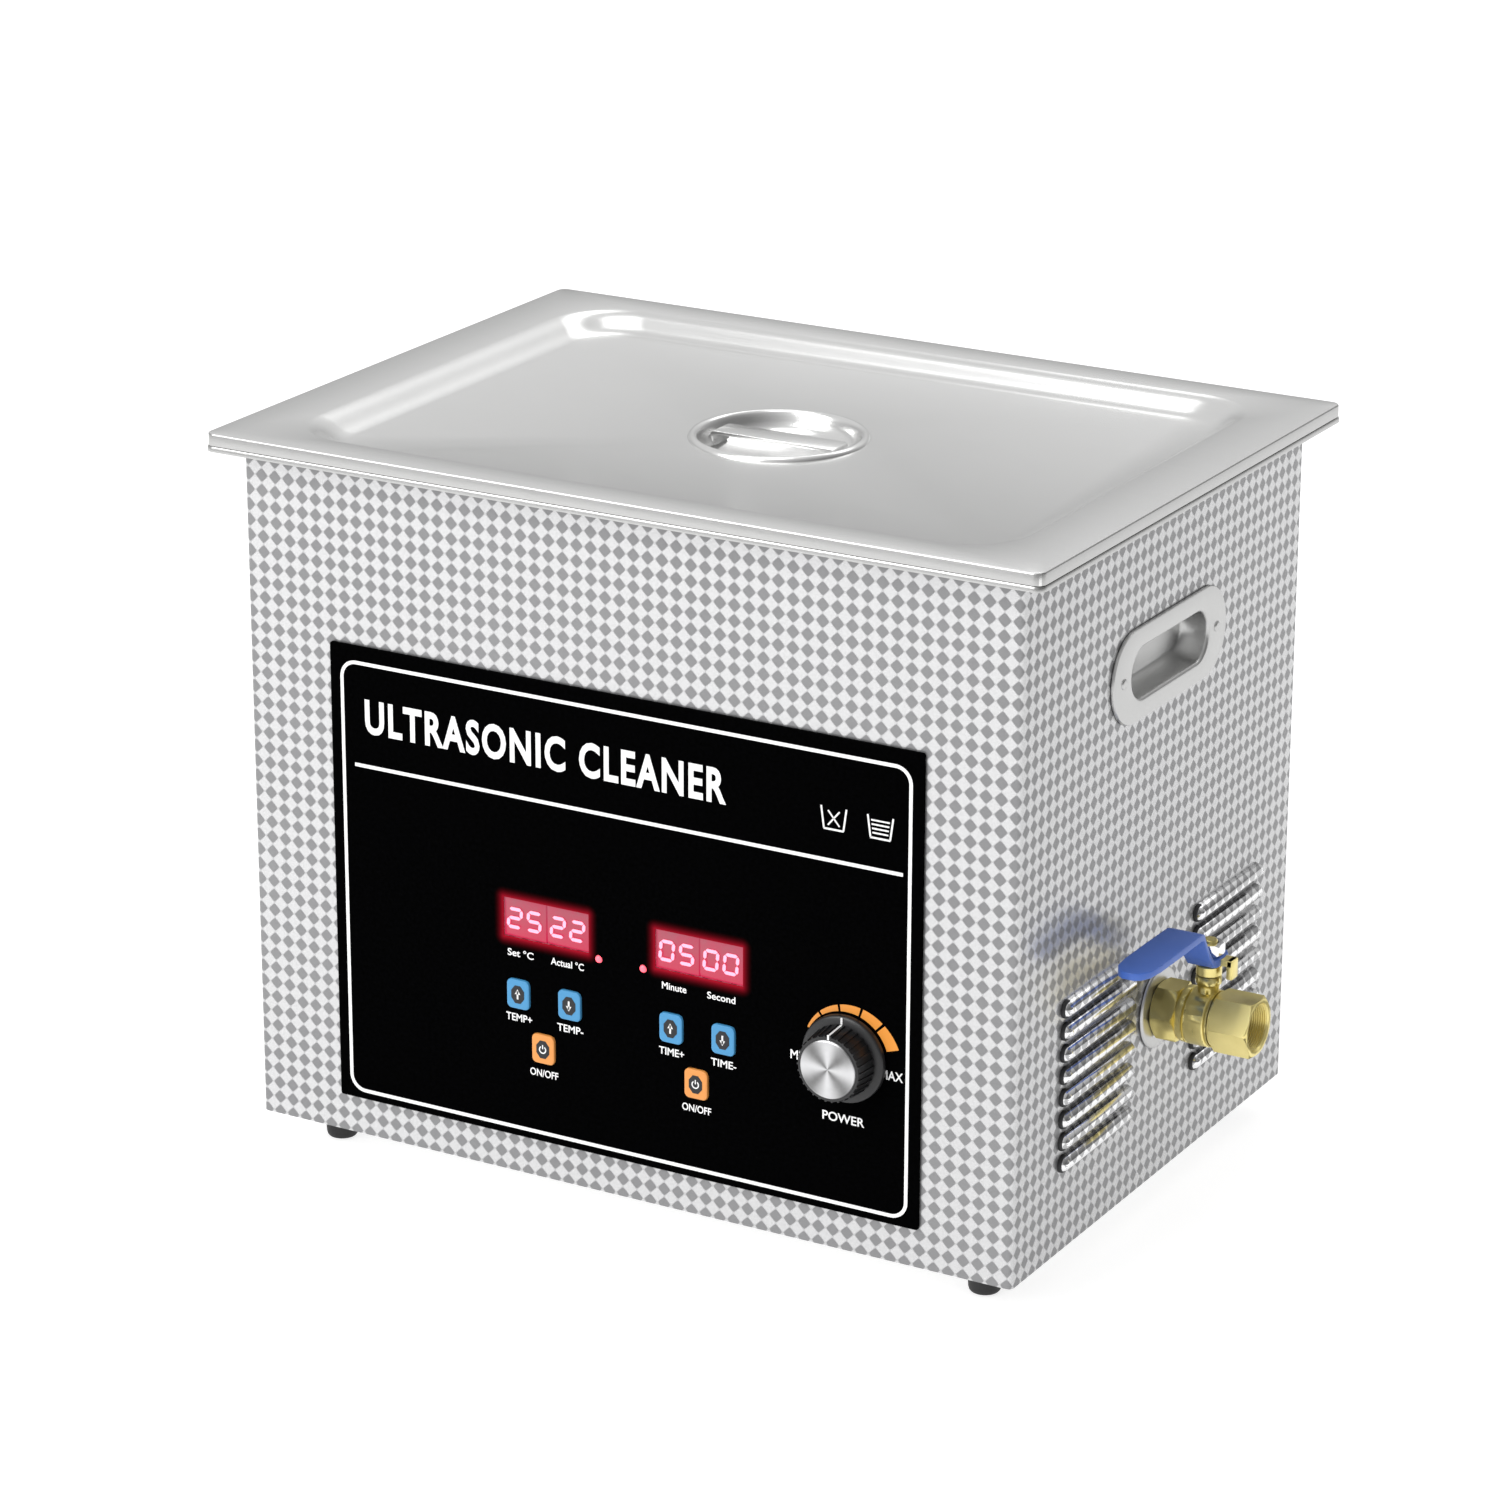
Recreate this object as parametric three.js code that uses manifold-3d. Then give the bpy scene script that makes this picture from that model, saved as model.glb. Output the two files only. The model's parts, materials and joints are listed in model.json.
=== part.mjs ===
// A bench-top ultrasonic cleaner with a heated 10 litre tank, a drain valve, a lid and a basket.
// Millimetres, +Z up. Shapes are written in the casing's frame: x = y = 0 at the casing's middle,
// z = 0 at the casing's lower edge. The last lines move the whole object onto its reference point.
import * as THREE from "three";
import { mergeVertices } from "three/addons/utils/BufferGeometryUtils.js";
import Module from "manifold-3d";

const wasm = await Module();
wasm.setup();

// ---- driving dimensions ----
const GAP = 0.3; // clearance between neighbouring pieces
const CASING = { width: 330, depth: 235, height: 270, wall: 1.2, radius: 3 };
const FOOT = { height: 14, topRadius: 7, bottomRadius: 6, inset: 22 };
const FLANGE = { overhangX: 11.3, overhangY: 10, thickness: 2, radius: 4 };
const TANK = { width: 300, depth: 212, height: 160, wall: 1.2, radius: 25, floorRadius: 8 };
const LID = { rise: 5, sheet: 1.2, panWidth: 306, panDepth: 224, panRadius: 27, panDrop: 7.5, panRun: 13 };
const RECESS = { radius: 35, bead: 1.6, drop: 11 }; // round finger bowl in the middle of the lid
const GRIP = { halfLength: 28.6, width: 12, sheet: 1.4 }; // strip across the bowl
const BASKET = { width: 276, depth: 188, height: 112, radius: 8, sheet: 1.6, clearance: 18, lug: 14 };
const FASCIA = { width: 254, height: 185, thickness: 1, bottom: 15.5 };
const DISPLAY = { width: 18.4, height: 15.3, depth: 8, bottom: 96.5, columns: [-51.1, -32.1, 15.3, 34.2] };
const LAMP = { radius: 1.5, height: 94.9, columns: [-9.4, 9.9] };
const KEY = { width: 9.9, height: 11.8, radius: 2, proud: 0.9, depth: 7, edge: 0.3 };
const KEYS = [
  ["temp_up_key", -44.6, 73.9],
  ["temp_down_key", -21.9, 73.9],
  ["time_up_key", 22.4, 73.9],
  ["time_down_key", 44.8, 73.9],
  ["heat_power_key", -33.7, 53.7],
  ["timer_power_key", 33.2, 53.7],
];
const KNOB = { x: 96.5, z: 78, skirt: 17, skirtHeight: 3, body: 13.4, cap: 11.4, height: 13.2, flutes: 12 };
const SHAFT = { radius: 3, length: 22 };
const HANDLE = { length: 96, width: 36, proud: 1.2, slot: 65, slotWidth: 19.5, cup: 9.5, z: 210 };
const LOUVRE = { length: 59, radius: 3.3, proud: 3.6, rows: 8, pitch: 8.75, top: 96.8, banks: [-52.5, 59.5] };
const VALVE = { z: 70, length: 42, stem: 21, split: 25.5, hexWidth: 24, bore: 6.5, pocket: 9.6, ball: 8.6 };
const PIPE = { outer: 9, inner: 6.5, drop: 115, bend: 16 }; // drain pipe from the tank floor to the valve
const TRANSDUCER = { x: 70, y: 45, radius: 29, height: 56 };
const FAN = { x: -90, z: 60, size: 80, depth: 25, bore: 37.5, hub: 17, blade: 36, blades: 7 };
const INLET = { x: 100, z: 42, width: 48, height: 28, bodyWidth: 29, bodyHeight: 21, bodyDepth: 22 };
const SOCKET = { width: 25, height: 17, depth: 16, pin: 14 };
const ROCKER = { x: 100, z: 86, width: 21, height: 15, tilt: 10 };
const FUSE = { x: 62, z: 42, radius: 6 };
const HEATER = { width: 200, height: 60, thickness: 2, above: 50 }; // two pads on the tank's long walls
const THERMOSTAT = { width: 16, height: 26, thickness: 3, y: 60, z: 160 };
const BOARD = { width: 150, depth: 110, sheet: 1.6, leg: 6, x: -20, y: 10 }; // ultrasonic generator
const ROUND = 20; // facets on a full turn of a large round piece
const SMALL_ROUND = 12; // and of a small one

const halfWidth = CASING.width / 2;
const halfDepth = CASING.depth / 2;
const flangeTop = CASING.height + FLANGE.thickness;
const tankFloor = flangeTop - TANK.height;
const tankUnderside = tankFloor - TANK.wall;
const lidTop = flangeTop + LID.rise;
const panFloor = lidTop - LID.panDrop;
const fasciaFace = -halfDepth - GAP - FASCIA.thickness;

// ---- materials ----
function finish(color, metalness, roughness, more = {}) {
  return new THREE.MeshStandardMaterial({ color, metalness, roughness, ...more });
}
const MATERIALS = {
  patternedSteel: finish(0xd6d7d8, 0.7, 0.35),
  brushedSteel: finish(0xc9caca, 0.9, 0.3),
  brass: finish(0xd9c07a, 0.95, 0.3),
  chrome: finish(0xe2e2e2, 1, 0.12),
  blueVinyl: finish(0x4b73c3, 0, 0.4),
  blackPanel: finish(0x0b0b0c, 0, 0.25),
  blackPlastic: finish(0x17181a, 0, 0.5),
  blueKey: finish(0x3c8cbe, 0, 0.45),
  orangeKey: finish(0xe18c41, 0, 0.45),
  redDisplay: finish(0xb01c38, 0, 0.3, { emissive: 0xd01838 }),
  rubber: finish(0x1c1c1d, 0, 0.85),
  circuitBoard: finish(0x1f5b37, 0.1, 0.6),
  aluminium: finish(0xb9bbbe, 0.9, 0.4),
  heaterFoil: finish(0xb5672c, 0.1, 0.6),
  seatPlastic: finish(0xeeeae0, 0, 0.5),
  ferrite: finish(0x35363a, 0.1, 0.7),
};

// ---- shape helpers ----
function toSolid(geometry) {
  const bare = geometry.index ? geometry.toNonIndexed() : geometry.clone();
  bare.deleteAttribute("normal");
  bare.deleteAttribute("uv");
  const merged = mergeVertices(bare, 1e-4);
  const corners = merged.index.array;
  const kept = [];
  for (let i = 0; i < corners.length; i += 3) {
    const [a, b, c] = corners.slice(i, i + 3);
    if (a !== b && b !== c && c !== a) kept.push(a, b, c);
  }
  const vertProperties = merged.attributes.position.array;
  const build = (list) =>
    new wasm.Manifold(new wasm.Mesh({ numProp: 3, vertProperties, triVerts: new Uint32Array(list) }));
  const solid = build(kept);
  return solid.volume() > 0 ? solid : build(kept.reverse());
}

function toGeometry(solid) {
  const made = solid.getMesh();
  const geometry = new THREE.BufferGeometry();
  geometry.setAttribute("position", new THREE.BufferAttribute(made.vertProperties, 3));
  geometry.setIndex(new THREE.BufferAttribute(made.triVerts, 1));
  geometry.computeVertexNormals();
  return geometry;
}

function join(first, ...others) {
  return toGeometry(others.reduce((sum, other) => sum.add(toSolid(other)), toSolid(first)));
}

function cut(first, ...tools) {
  return toGeometry(tools.reduce((rest, tool) => rest.subtract(toSolid(tool)), toSolid(first)));
}

function common(first, second) {
  return toGeometry(toSolid(first).intersect(toSolid(second)));
}

function block(width, depth, height, x = 0, y = 0, z = 0) {
  return new THREE.BoxGeometry(width, depth, height).translate(x, y, z);
}

function roundedRect(width, height, radius) {
  const [x, y, r] = [width / 2, height / 2, radius];
  const shape = new THREE.Shape();
  shape.moveTo(-x + r, -y).lineTo(x - r, -y).absarc(x - r, -y + r, r, -Math.PI / 2, 0);
  shape.lineTo(x, y - r).absarc(x - r, y - r, r, 0, Math.PI / 2);
  shape.lineTo(-x + r, y).absarc(-x + r, y - r, r, Math.PI / 2, Math.PI);
  shape.lineTo(-x, -y + r).absarc(-x + r, -y + r, r, Math.PI, 1.5 * Math.PI);
  return shape;
}

function hexagon(acrossFlats) {
  const radius = acrossFlats / Math.sqrt(3);
  const corners = Array.from({ length: 6 }, (_, i) => {
    const angle = (i * Math.PI) / 3;
    return new THREE.Vector2(radius * Math.cos(angle), radius * Math.sin(angle));
  });
  return new THREE.Shape(corners);
}

// Turns a shape's outline to a face of the casing; its thickness then runs outwards.
const FACING = {
  up: (g) => g,
  front: (g) => g.rotateX(Math.PI / 2),
  back: (g) => g.rotateX(Math.PI / 2).rotateZ(Math.PI),
  right: (g) => g.rotateX(Math.PI / 2).rotateZ(Math.PI / 2),
  left: (g) => g.rotateX(Math.PI / 2).rotateZ(-Math.PI / 2),
};

function slab(shape, thickness, facing = "up", curveSegments = 5) {
  const options = { depth: thickness, bevelEnabled: false, curveSegments };
  return FACING[facing](new THREE.ExtrudeGeometry(shape, options));
}

// A profile of [radius, height] points turned about an axis; its height runs outwards.
function turned(profile, facing = "up", segments = ROUND) {
  const points = profile.map(([radius, height]) => new THREE.Vector2(radius, height));
  const lathe = new THREE.LatheGeometry(points, segments).rotateX(Math.PI / 2);
  return FACING[facing](lathe);
}

function rod(radius, from, to, facing = "up", segments = SMALL_ROUND) {
  return turned([[0, from], [radius, from], [radius, to], [0, to]], facing, segments);
}

function ring(outer, inner, from, to, facing = "up", segments = SMALL_ROUND) {
  const profile = [[inner, from], [outer, from], [outer, to], [inner, to], [inner, from]];
  return turned(profile, facing, segments);
}

// One rounded rectangle of a loft: { w, d, r, z }, with the same number of points for every radius.
function loop({ w, d, r, z }, steps) {
  const corners = [[1, -1, -90], [1, 1, 0], [-1, 1, 90], [-1, -1, 180]];
  return corners.flatMap(([sx, sy, start]) =>
    Array.from({ length: steps + 1 }, (_, i) => {
      const angle = THREE.MathUtils.degToRad(start + (90 * i) / steps);
      const x = sx * (w / 2 - r) + r * Math.cos(angle);
      return [x, sy * (d / 2 - r) + r * Math.sin(angle), z];
    }),
  );
}

// A closed skin through a run of rounded rectangles, capped by the first and the last.
function loft(sections, steps = 4) {
  const loops = sections.map((section) => loop(section, steps));
  const count = loops[0].length;
  const index = [];
  for (let k = 0; k + 1 < loops.length; k++) {
    for (let i = 0; i < count; i++) {
      const [a, b] = [k * count + i, k * count + ((i + 1) % count)];
      index.push(a, b, b + count, a, b + count, a + count);
    }
  }
  const last = (loops.length - 1) * count;
  for (let i = 1; i + 1 < count; i++) index.push(0, i + 1, i, last, last + i, last + i + 1);
  const geometry = new THREE.BufferGeometry();
  geometry.setAttribute("position", new THREE.Float32BufferAttribute(loops.flat(2), 3));
  return geometry.setIndex(index);
}

const cleaner = new THREE.Group();

function add(name, material, geometry, x = 0, y = 0, z = 0, group = cleaner) {
  const mesh = new THREE.Mesh(toGeometry(toSolid(geometry)), material);
  mesh.name = name;
  mesh.position.set(x, y, z);
  group.add(mesh);
  return mesh;
}

// ---- casing, base and feet ----
// A pressed half-round hood on a face that looks along +X; x = 0 is the casing's outer face.
function louvreHood() {
  const { length, radius, proud } = LOUVRE;
  const capsule = new THREE.CapsuleGeometry(radius, length - 2 * radius, 1, 6).scale(proud / radius, 1, 1);
  return common(capsule, block(proud + 2, length + 2, 4 * radius, proud / 2 + 0.4, 0, 0));
}

function louvreSlot() {
  const reach = LOUVRE.proud - 1.2;
  const length = LOUVRE.length - 9;
  return block(reach + 4, length, 3.6, (reach - 4) / 2, 0, -1.2);
}

function louvrePlaces() {
  const rows = Array.from({ length: LOUVRE.rows }, (_, i) => LOUVRE.top - i * LOUVRE.pitch);
  return LOUVRE.banks.flatMap((y) => rows.map((z) => [y, z]));
}

function casing() {
  const { width, depth, height, wall, radius } = CASING;
  const outside = slab(roundedRect(width, depth, radius), height - GAP);
  const inside = slab(roundedRect(width - 2 * wall, depth - 2 * wall, radius - wall), height + 10);
  let shell = cut(outside, inside.translate(0, 0, -5));
  for (const side of [1, -1]) {
    const hoods = louvrePlaces().map(([y, z]) => {
      return louvreHood().rotateZ(side > 0 ? 0 : Math.PI).translate(side * halfWidth, y, z);
    });
    const slots = louvrePlaces().map(([y, z]) => {
      return louvreSlot().rotateZ(side > 0 ? 0 : Math.PI).translate(side * halfWidth, y, z);
    });
    shell = cut(join(shell, ...hoods), ...slots);
    const cupHole = roundedRect(HANDLE.slot + 5, HANDLE.slotWidth + 5, (HANDLE.slotWidth + 5) / 2 - 0.01);
    shell = cut(shell, slab(cupHole, 20, "right").translate(side * halfWidth - 10, 0, HANDLE.z));
  }
  const drainHole = rod(PIPE.outer + 0.6, halfWidth - 5, halfWidth + 5, "right").translate(0, 0, VALVE.z);
  const fanHole = rod(FAN.bore, halfDepth - 5, halfDepth + 5, "back", ROUND).translate(FAN.x, 0, FAN.z);
  const fuseHole = rod(FUSE.radius + GAP, halfDepth - 5, halfDepth + 5, "back").translate(FUSE.x, 0, FUSE.z);
  const [inletWidth, inletHeight] = [INLET.bodyWidth + 2 * GAP, INLET.bodyHeight + 2 * GAP];
  const inletHole = block(inletWidth, 10, inletHeight, INLET.x, halfDepth, INLET.z);
  const switchHole = block(ROCKER.width - 1.4, 10, ROCKER.height - 1.4, ROCKER.x, halfDepth, ROCKER.z);
  return cut(shell, drainHole, fanHole, fuseHole, inletHole, switchHole, ...panelHoles(0.4));
}

// Holes for the displays, lamps, keys and potentiometer; they go through the casing and the fascia.
function panelHoles(clearance) {
  const holes = [];
  const windowWidth = 2 * DISPLAY.width + 0.5 + 2 * clearance;
  for (const left of [DISPLAY.columns[0], DISPLAY.columns[2]]) {
    const x = left + DISPLAY.width + 0.25;
    const z = DISPLAY.bottom + DISPLAY.height / 2;
    holes.push(block(windowWidth, 10, DISPLAY.height + 2 * clearance, x, -halfDepth, z));
  }
  for (const x of LAMP.columns) {
    holes.push(rod(LAMP.radius + clearance, -5, 5, "front", 12).translate(x, -halfDepth, LAMP.height));
  }
  for (const [, x, z] of KEYS) {
    const [width, height] = [KEY.width + 2 * clearance, KEY.height + 2 * clearance];
    const outline = roundedRect(width, height, KEY.radius + clearance);
    holes.push(slab(outline, 10, "front", 1).translate(x, -halfDepth + 5, z));
  }
  holes.push(rod(5 + clearance, -5, 5, "front").translate(KNOB.x, -halfDepth, KNOB.z));
  return holes;
}

function basePlate() {
  const { width, depth, wall } = CASING;
  const inset = wall + GAP;
  const plate = slab(roundedRect(width - 2 * inset, depth - 2 * inset, 1.5), wall);
  const slots = [-60, -36, -12, 12, 36, 60].map((x) => block(6, 70, 10, x, 0, 0));
  return cut(plate, ...slots);
}

function foot() {
  const { height, topRadius, bottomRadius } = FOOT;
  const top = height - GAP;
  return turned([[0, 0], [bottomRadius - 1, 0], [bottomRadius, 1], [topRadius, top], [0, top]]);
}

const footCorners = [
  ["front_left", -1, -1],
  ["front_right", 1, -1],
  ["rear_left", -1, 1],
  ["rear_right", 1, 1],
];
add("outer_casing", MATERIALS.patternedSteel, casing());
add("base_plate", MATERIALS.brushedSteel, basePlate());
for (const [name, sx, sy] of footCorners) {
  const [x, y] = [sx * (halfWidth - FOOT.inset), sy * (halfDepth - FOOT.inset)];
  add("foot_" + name, MATERIALS.rubber, foot(), x, y, -FOOT.height);
}

// ---- tank and what is fixed to it ----
function tank() {
  const { width, depth, wall, radius, floorRadius } = TANK;
  const grow = (by, z, tuck = 0) => ({
    w: width + 2 * by - 2 * tuck,
    d: depth + 2 * by - 2 * tuck,
    r: radius + by - tuck,
    z,
  });
  const flange = (z) => ({
    w: CASING.width + 2 * FLANGE.overhangX,
    d: CASING.depth + 2 * FLANGE.overhangY,
    r: FLANGE.radius,
    z,
  });
  const body = loft([
    grow(wall, tankUnderside, floorRadius),
    grow(wall, tankUnderside + 0.3 * floorRadius, 0.3 * floorRadius),
    grow(wall, tankUnderside + floorRadius),
    grow(wall, CASING.height),
    flange(CASING.height),
    flange(flangeTop),
    grow(1.5, flangeTop),
    grow(0, flangeTop - 1.5),
    grow(0, tankFloor + floorRadius),
    grow(0, tankFloor + 0.3 * floorRadius, 0.3 * floorRadius),
    grow(0, tankFloor, floorRadius),
  ]);
  return cut(body, rod(PIPE.inner, tankFloor - 10, tankFloor + 10).translate(PIPE.drop, 0, 0));
}

// Bonded horn, two piezo rings, back mass and clamping bolt as one turned piece; z = 0 is its glued face.
function transducer() {
  const { radius, height } = TRANSDUCER;
  const stack = 0.66 * radius;
  return turned([
    [0, 0], [radius, 0], [radius, -4], [stack, -24], [stack, -28], [stack + 1.5, -28], [stack + 1.5, -33],
    [stack, -33], [stack, -height + 6], [7, -height + 6], [7, -height], [0, -height],
  ], "up", SMALL_ROUND);
}

add("tank", MATERIALS.brushedSteel, tank());
[[-1, -1], [-1, 1], [1, -1], [1, 1]].forEach(([sx, sy], i) => {
  const [x, y] = [sx * TRANSDUCER.x, sy * TRANSDUCER.y];
  add(`transducer_${i + 1}`, MATERIALS.aluminium, transducer(), x, y, tankUnderside - GAP);
});
for (const [name, side] of [["heater_front", -1], ["heater_rear", 1]]) {
  const { width, height, thickness, above } = HEATER;
  const y = side * (TANK.depth / 2 + TANK.wall + GAP + thickness / 2);
  add(name, MATERIALS.heaterFoil, block(width, thickness, height), 0, y, tankFloor + above);
}

function thermostat() {
  const { width, height, thickness } = THERMOSTAT;
  return join(block(thickness, width, height), rod(5, 0, 4, "left").translate(-1, 0, 0));
}
const thermostatX = -TANK.width / 2 - TANK.wall - GAP - THERMOSTAT.thickness / 2;
add("thermostat_sensor", MATERIALS.blackPlastic, thermostat(), thermostatX, THERMOSTAT.y, THERMOSTAT.z);

// ---- lid ----
function lid() {
  const { sheet, panWidth, panDepth, panRadius, panDrop, panRun } = LID;
  const rim = (by, z) => ({
    w: CASING.width + 2 * FLANGE.overhangX - 0.6 + 2 * by,
    d: CASING.depth + 2 * FLANGE.overhangY - 0.6 + 2 * by,
    r: FLANGE.radius + by,
    z,
  });
  const pan = (inset, z) => ({
    w: panWidth - 2 * inset,
    d: panDepth - 2 * inset,
    r: panRadius - 0.4 * inset,
    z,
  });
  const floorUnderside = panFloor - sheet;
  const skirtFoot = flangeTop + GAP;
  const body = loft([
    pan(panRun, floorUnderside),
    pan(0.7 * panRun, floorUnderside + 0.3 * panDrop),
    pan(0.15 * panRun, floorUnderside + 0.85 * panDrop),
    pan(-1, lidTop - sheet),
    rim(-sheet, lidTop - sheet),
    rim(-sheet, skirtFoot),
    rim(0, skirtFoot),
    rim(0, lidTop - 1),
    rim(-1, lidTop),
    pan(-2, lidTop),
    pan(0.15 * panRun, lidTop - 0.12 * panDrop),
    pan(0.75 * panRun, lidTop - 0.7 * panDrop),
    pan(panRun, panFloor + 0.08 * panDrop),
    pan(panRun + 5, panFloor),
  ]);
  const opening = rod(RECESS.radius - 2, panFloor - 10, panFloor + 10, "up", ROUND);
  return join(cut(body, opening), recessBowl().translate(0, 0, panFloor));
}

// The finger bowl with its raised bead; z = 0 is the lid's floor.
function recessBowl() {
  const { radius, bead, drop } = RECESS;
  const sheet = LID.sheet;
  return turned([
    [0, -drop - sheet], [14, -drop - sheet + 0.4], [23, -drop - sheet + 2.4], [29, -7], [radius - 3, -sheet],
    [radius, -sheet], [radius, 0], [radius - 0.6, 0.7 * bead], [radius - 2, bead], [radius - 3.4, 0.6 * bead],
    [radius - 4.3, -1.5], [28, -6], [22, -9], [14, -drop + 0.3], [0, -drop],
  ]);
}

// A flat strip whose ends turn down against the bowl's wall; z = 0 is the lid's floor.
function grip() {
  const { halfLength, width, sheet } = GRIP;
  const end = halfLength - 3.4;
  const profile = new THREE.Shape([
    new THREE.Vector2(-end - 0.6, -6.4),
    new THREE.Vector2(-end + 0.8, -6),
    new THREE.Vector2(-halfLength + 2.4, -sheet),
    new THREE.Vector2(halfLength - 2.4, -sheet),
    new THREE.Vector2(end - 0.8, -6),
    new THREE.Vector2(end + 0.6, -6.4),
    new THREE.Vector2(halfLength, -1),
    new THREE.Vector2(halfLength - 1.2, 0.2),
    new THREE.Vector2(-halfLength + 1.2, 0.2),
    new THREE.Vector2(-halfLength, -1),
  ]);
  return slab(profile, width, "front").translate(0, width / 2, 0);
}

add("lid", MATERIALS.brushedSteel, lid());
add("lid_handle", MATERIALS.brushedSteel, grip(), 0, 0, panFloor);

// ---- basket ----
function basketWalls() {
  const { width, depth, height, radius, sheet, lug } = BASKET;
  const foot = sheet + GAP;
  const outline = roundedRect(width, depth, radius);
  const inside = roundedRect(width - 2 * sheet, depth - 2 * sheet, radius - sheet);
  const walls = cut(
    slab(outline, height - foot, "up", 3).translate(0, 0, foot),
    slab(inside, height + 10, "up", 3),
  );
  const windows = [-64, 64].map((x) => block(112, depth + 10, height - 34, x, 0, height / 2 + 4));
  windows.push(block(width + 10, 140, height - 34, 0, 0, height / 2 + 4));
  const lugs = [-1, 1].map((side) => {
    const bar = slab(roundedRect(84, 2 * lug, 6), 2.4, "right", 2);
    const hole = slab(roundedRect(74, 2 * lug - 10, 4), 6, "right", 1).translate(-1, 0, 0);
    return cut(bar, hole).translate(side * (width / 2 - 2.4) - 1.2, 0, height - 2);
  });
  return join(cut(walls, ...windows), ...lugs);
}

function basketFloor() {
  const { width, depth, radius, sheet } = BASKET;
  const windows = [-80, 0, 80].flatMap((x) => [-40, 40].map((y) => block(68, 68, 8, x, y, 0)));
  return cut(slab(roundedRect(width, depth, radius), sheet, "up", 3), ...windows);
}

add("basket", MATERIALS.brushedSteel, basketWalls(), 0, 0, tankFloor + BASKET.clearance);
add("basket_floor", MATERIALS.brushedSteel, basketFloor(), 0, 0, tankFloor + BASKET.clearance);

// ---- front panel ----
function fascia() {
  const { width, height, thickness, bottom } = FASCIA;
  const plate = slab(roundedRect(width, height, 1), thickness, "front", 2);
  plate.translate(0, -halfDepth - GAP, bottom + height / 2);
  return cut(plate, ...panelHoles(0.3));
}

function keyBlock() {
  const { width, height, radius, proud, depth, edge } = KEY;
  const outline = roundedRect(width, height, radius);
  const top = roundedRect(width - 2 * edge, height - 2 * edge, radius - edge);
  const body = slab(outline, depth + proud - edge, "front", 2).translate(0, depth, 0);
  return join(body, slab(top, 2 * edge, "front", 2).translate(0, 2 * edge - proud, 0));
}

add("control_fascia", MATERIALS.blackPanel, fascia());
const displayNames = [
  "set_temperature_display",
  "actual_temperature_display",
  "minute_display",
  "second_display",
];
displayNames.forEach((name, i) => {
  const { width, height, depth, columns, bottom } = DISPLAY;
  const y = fasciaFace + 0.4 + depth / 2;
  const face = block(width, depth, height);
  add(name, MATERIALS.redDisplay, face, columns[i] + width / 2, y, bottom + height / 2);
});
for (const [name, x] of [["heat_lamp", LAMP.columns[0]], ["timer_lamp", LAMP.columns[1]]]) {
  const { radius } = LAMP;
  const bulb = [[0, 0], [radius, 0], [radius, 6], [0.8 * radius, 6.6], [0, 6.9]];
  add(name, MATERIALS.redDisplay, turned(bulb, "front", 12), x, fasciaFace + 6.5, LAMP.height);
}
for (const [name, x, z] of KEYS) {
  const material = name.includes("power") ? MATERIALS.orangeKey : MATERIALS.blueKey;
  add(name, material, keyBlock(), x, fasciaFace, z);
}

// ---- power knob ----
function knobBody() {
  const { skirt, skirtHeight, body, cap, height, flutes } = KNOB;
  const base = [[0, 0], [skirt - 0.5, 0], [skirt, 0.8], [skirt - 0.4, skirtHeight]];
  const top = [[body + 0.8, skirtHeight + 0.6], [body, height - 1.5], [cap + 0.8, height], [0, height]];
  const grooves = Array.from({ length: flutes }, (_, i) => {
    const angle = ((i + 0.5) * 2 * Math.PI) / flutes;
    const groove = rod(0.9, skirtHeight + 2, height + 1, "front", 5);
    const reach = body + 0.75;
    return groove.translate(reach * Math.sin(angle), 0, reach * Math.cos(angle));
  });
  const solid = turned([...base, ...top], "front");
  const bore = rod(SHAFT.radius + GAP, -1, height - 3, "front", 16);
  const capSeat = rod(cap + GAP, height - 0.8, height + 1, "front", ROUND);
  return cut(solid, bore, capSeat, ...grooves);
}

function knobCap() {
  const { cap, height } = KNOB;
  const [back, edge, face] = [height - 0.5, height + 0.2, height + 0.8];
  return turned([[0, back], [cap, back], [cap, edge], [cap - 0.5, face], [0, face]], "front", 24);
}

function potentiometer() {
  const can = rod(11, -12, -2, "front", 24);
  const bush = rod(4.6, -3, FASCIA.thickness + CASING.wall + GAP + 0.6, "front", 24);
  const terminals = block(16, 6, 8, 0, 8, -13);
  return cut(join(can, bush, terminals), rod(SHAFT.radius + GAP, -8, 12, "front", 16));
}

const knobGroup = new THREE.Group();
knobGroup.position.set(KNOB.x, fasciaFace - 0.6, KNOB.z);
cleaner.add(knobGroup);
add("power_knob", MATERIALS.blackPlastic, knobBody(), 0, 0, 0, knobGroup);
add("knob_cap", MATERIALS.aluminium, knobCap(), 0, 0, 0, knobGroup);
const shaftTip = KNOB.height - 3.6;
const shaftRod = rod(SHAFT.radius, shaftTip - SHAFT.length + 5, shaftTip, "front", 16);
add("potentiometer_shaft", MATERIALS.aluminium, shaftRod, 0, 0, 0, knobGroup);
add("potentiometer_body", MATERIALS.aluminium, potentiometer(), KNOB.x, -halfDepth + CASING.wall, KNOB.z);

// ---- carrying handles ----
// A flat surround with a shallow finger cup; its outer face looks along +Z before it is turned.
function handle() {
  const { length, width, proud, slot, slotWidth, cup } = HANDLE;
  const stadium = (w, d, z) => ({ w, d, r: d / 2 - 0.01, z });
  const sheet = 1;
  return loft([
    stadium(slot - 4 + 2 * sheet, slotWidth - 4 + 2 * sheet, -cup - sheet),
    stadium(slot + 2 * sheet, slotWidth + 2 * sheet, -cup + 2),
    stadium(slot + 1 + 2 * sheet, slotWidth + 1 + 2 * sheet, 0),
    stadium(length, width, 0),
    stadium(length, width, proud - 0.5),
    stadium(length - 1, width - 1, proud),
    stadium(slot + 2, slotWidth + 2, proud),
    stadium(slot, slotWidth, proud - 1),
    stadium(slot - 1, slotWidth - 1, -cup + 2),
    stadium(slot - 6, slotWidth - 6, -cup),
  ], 5);
}
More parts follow.
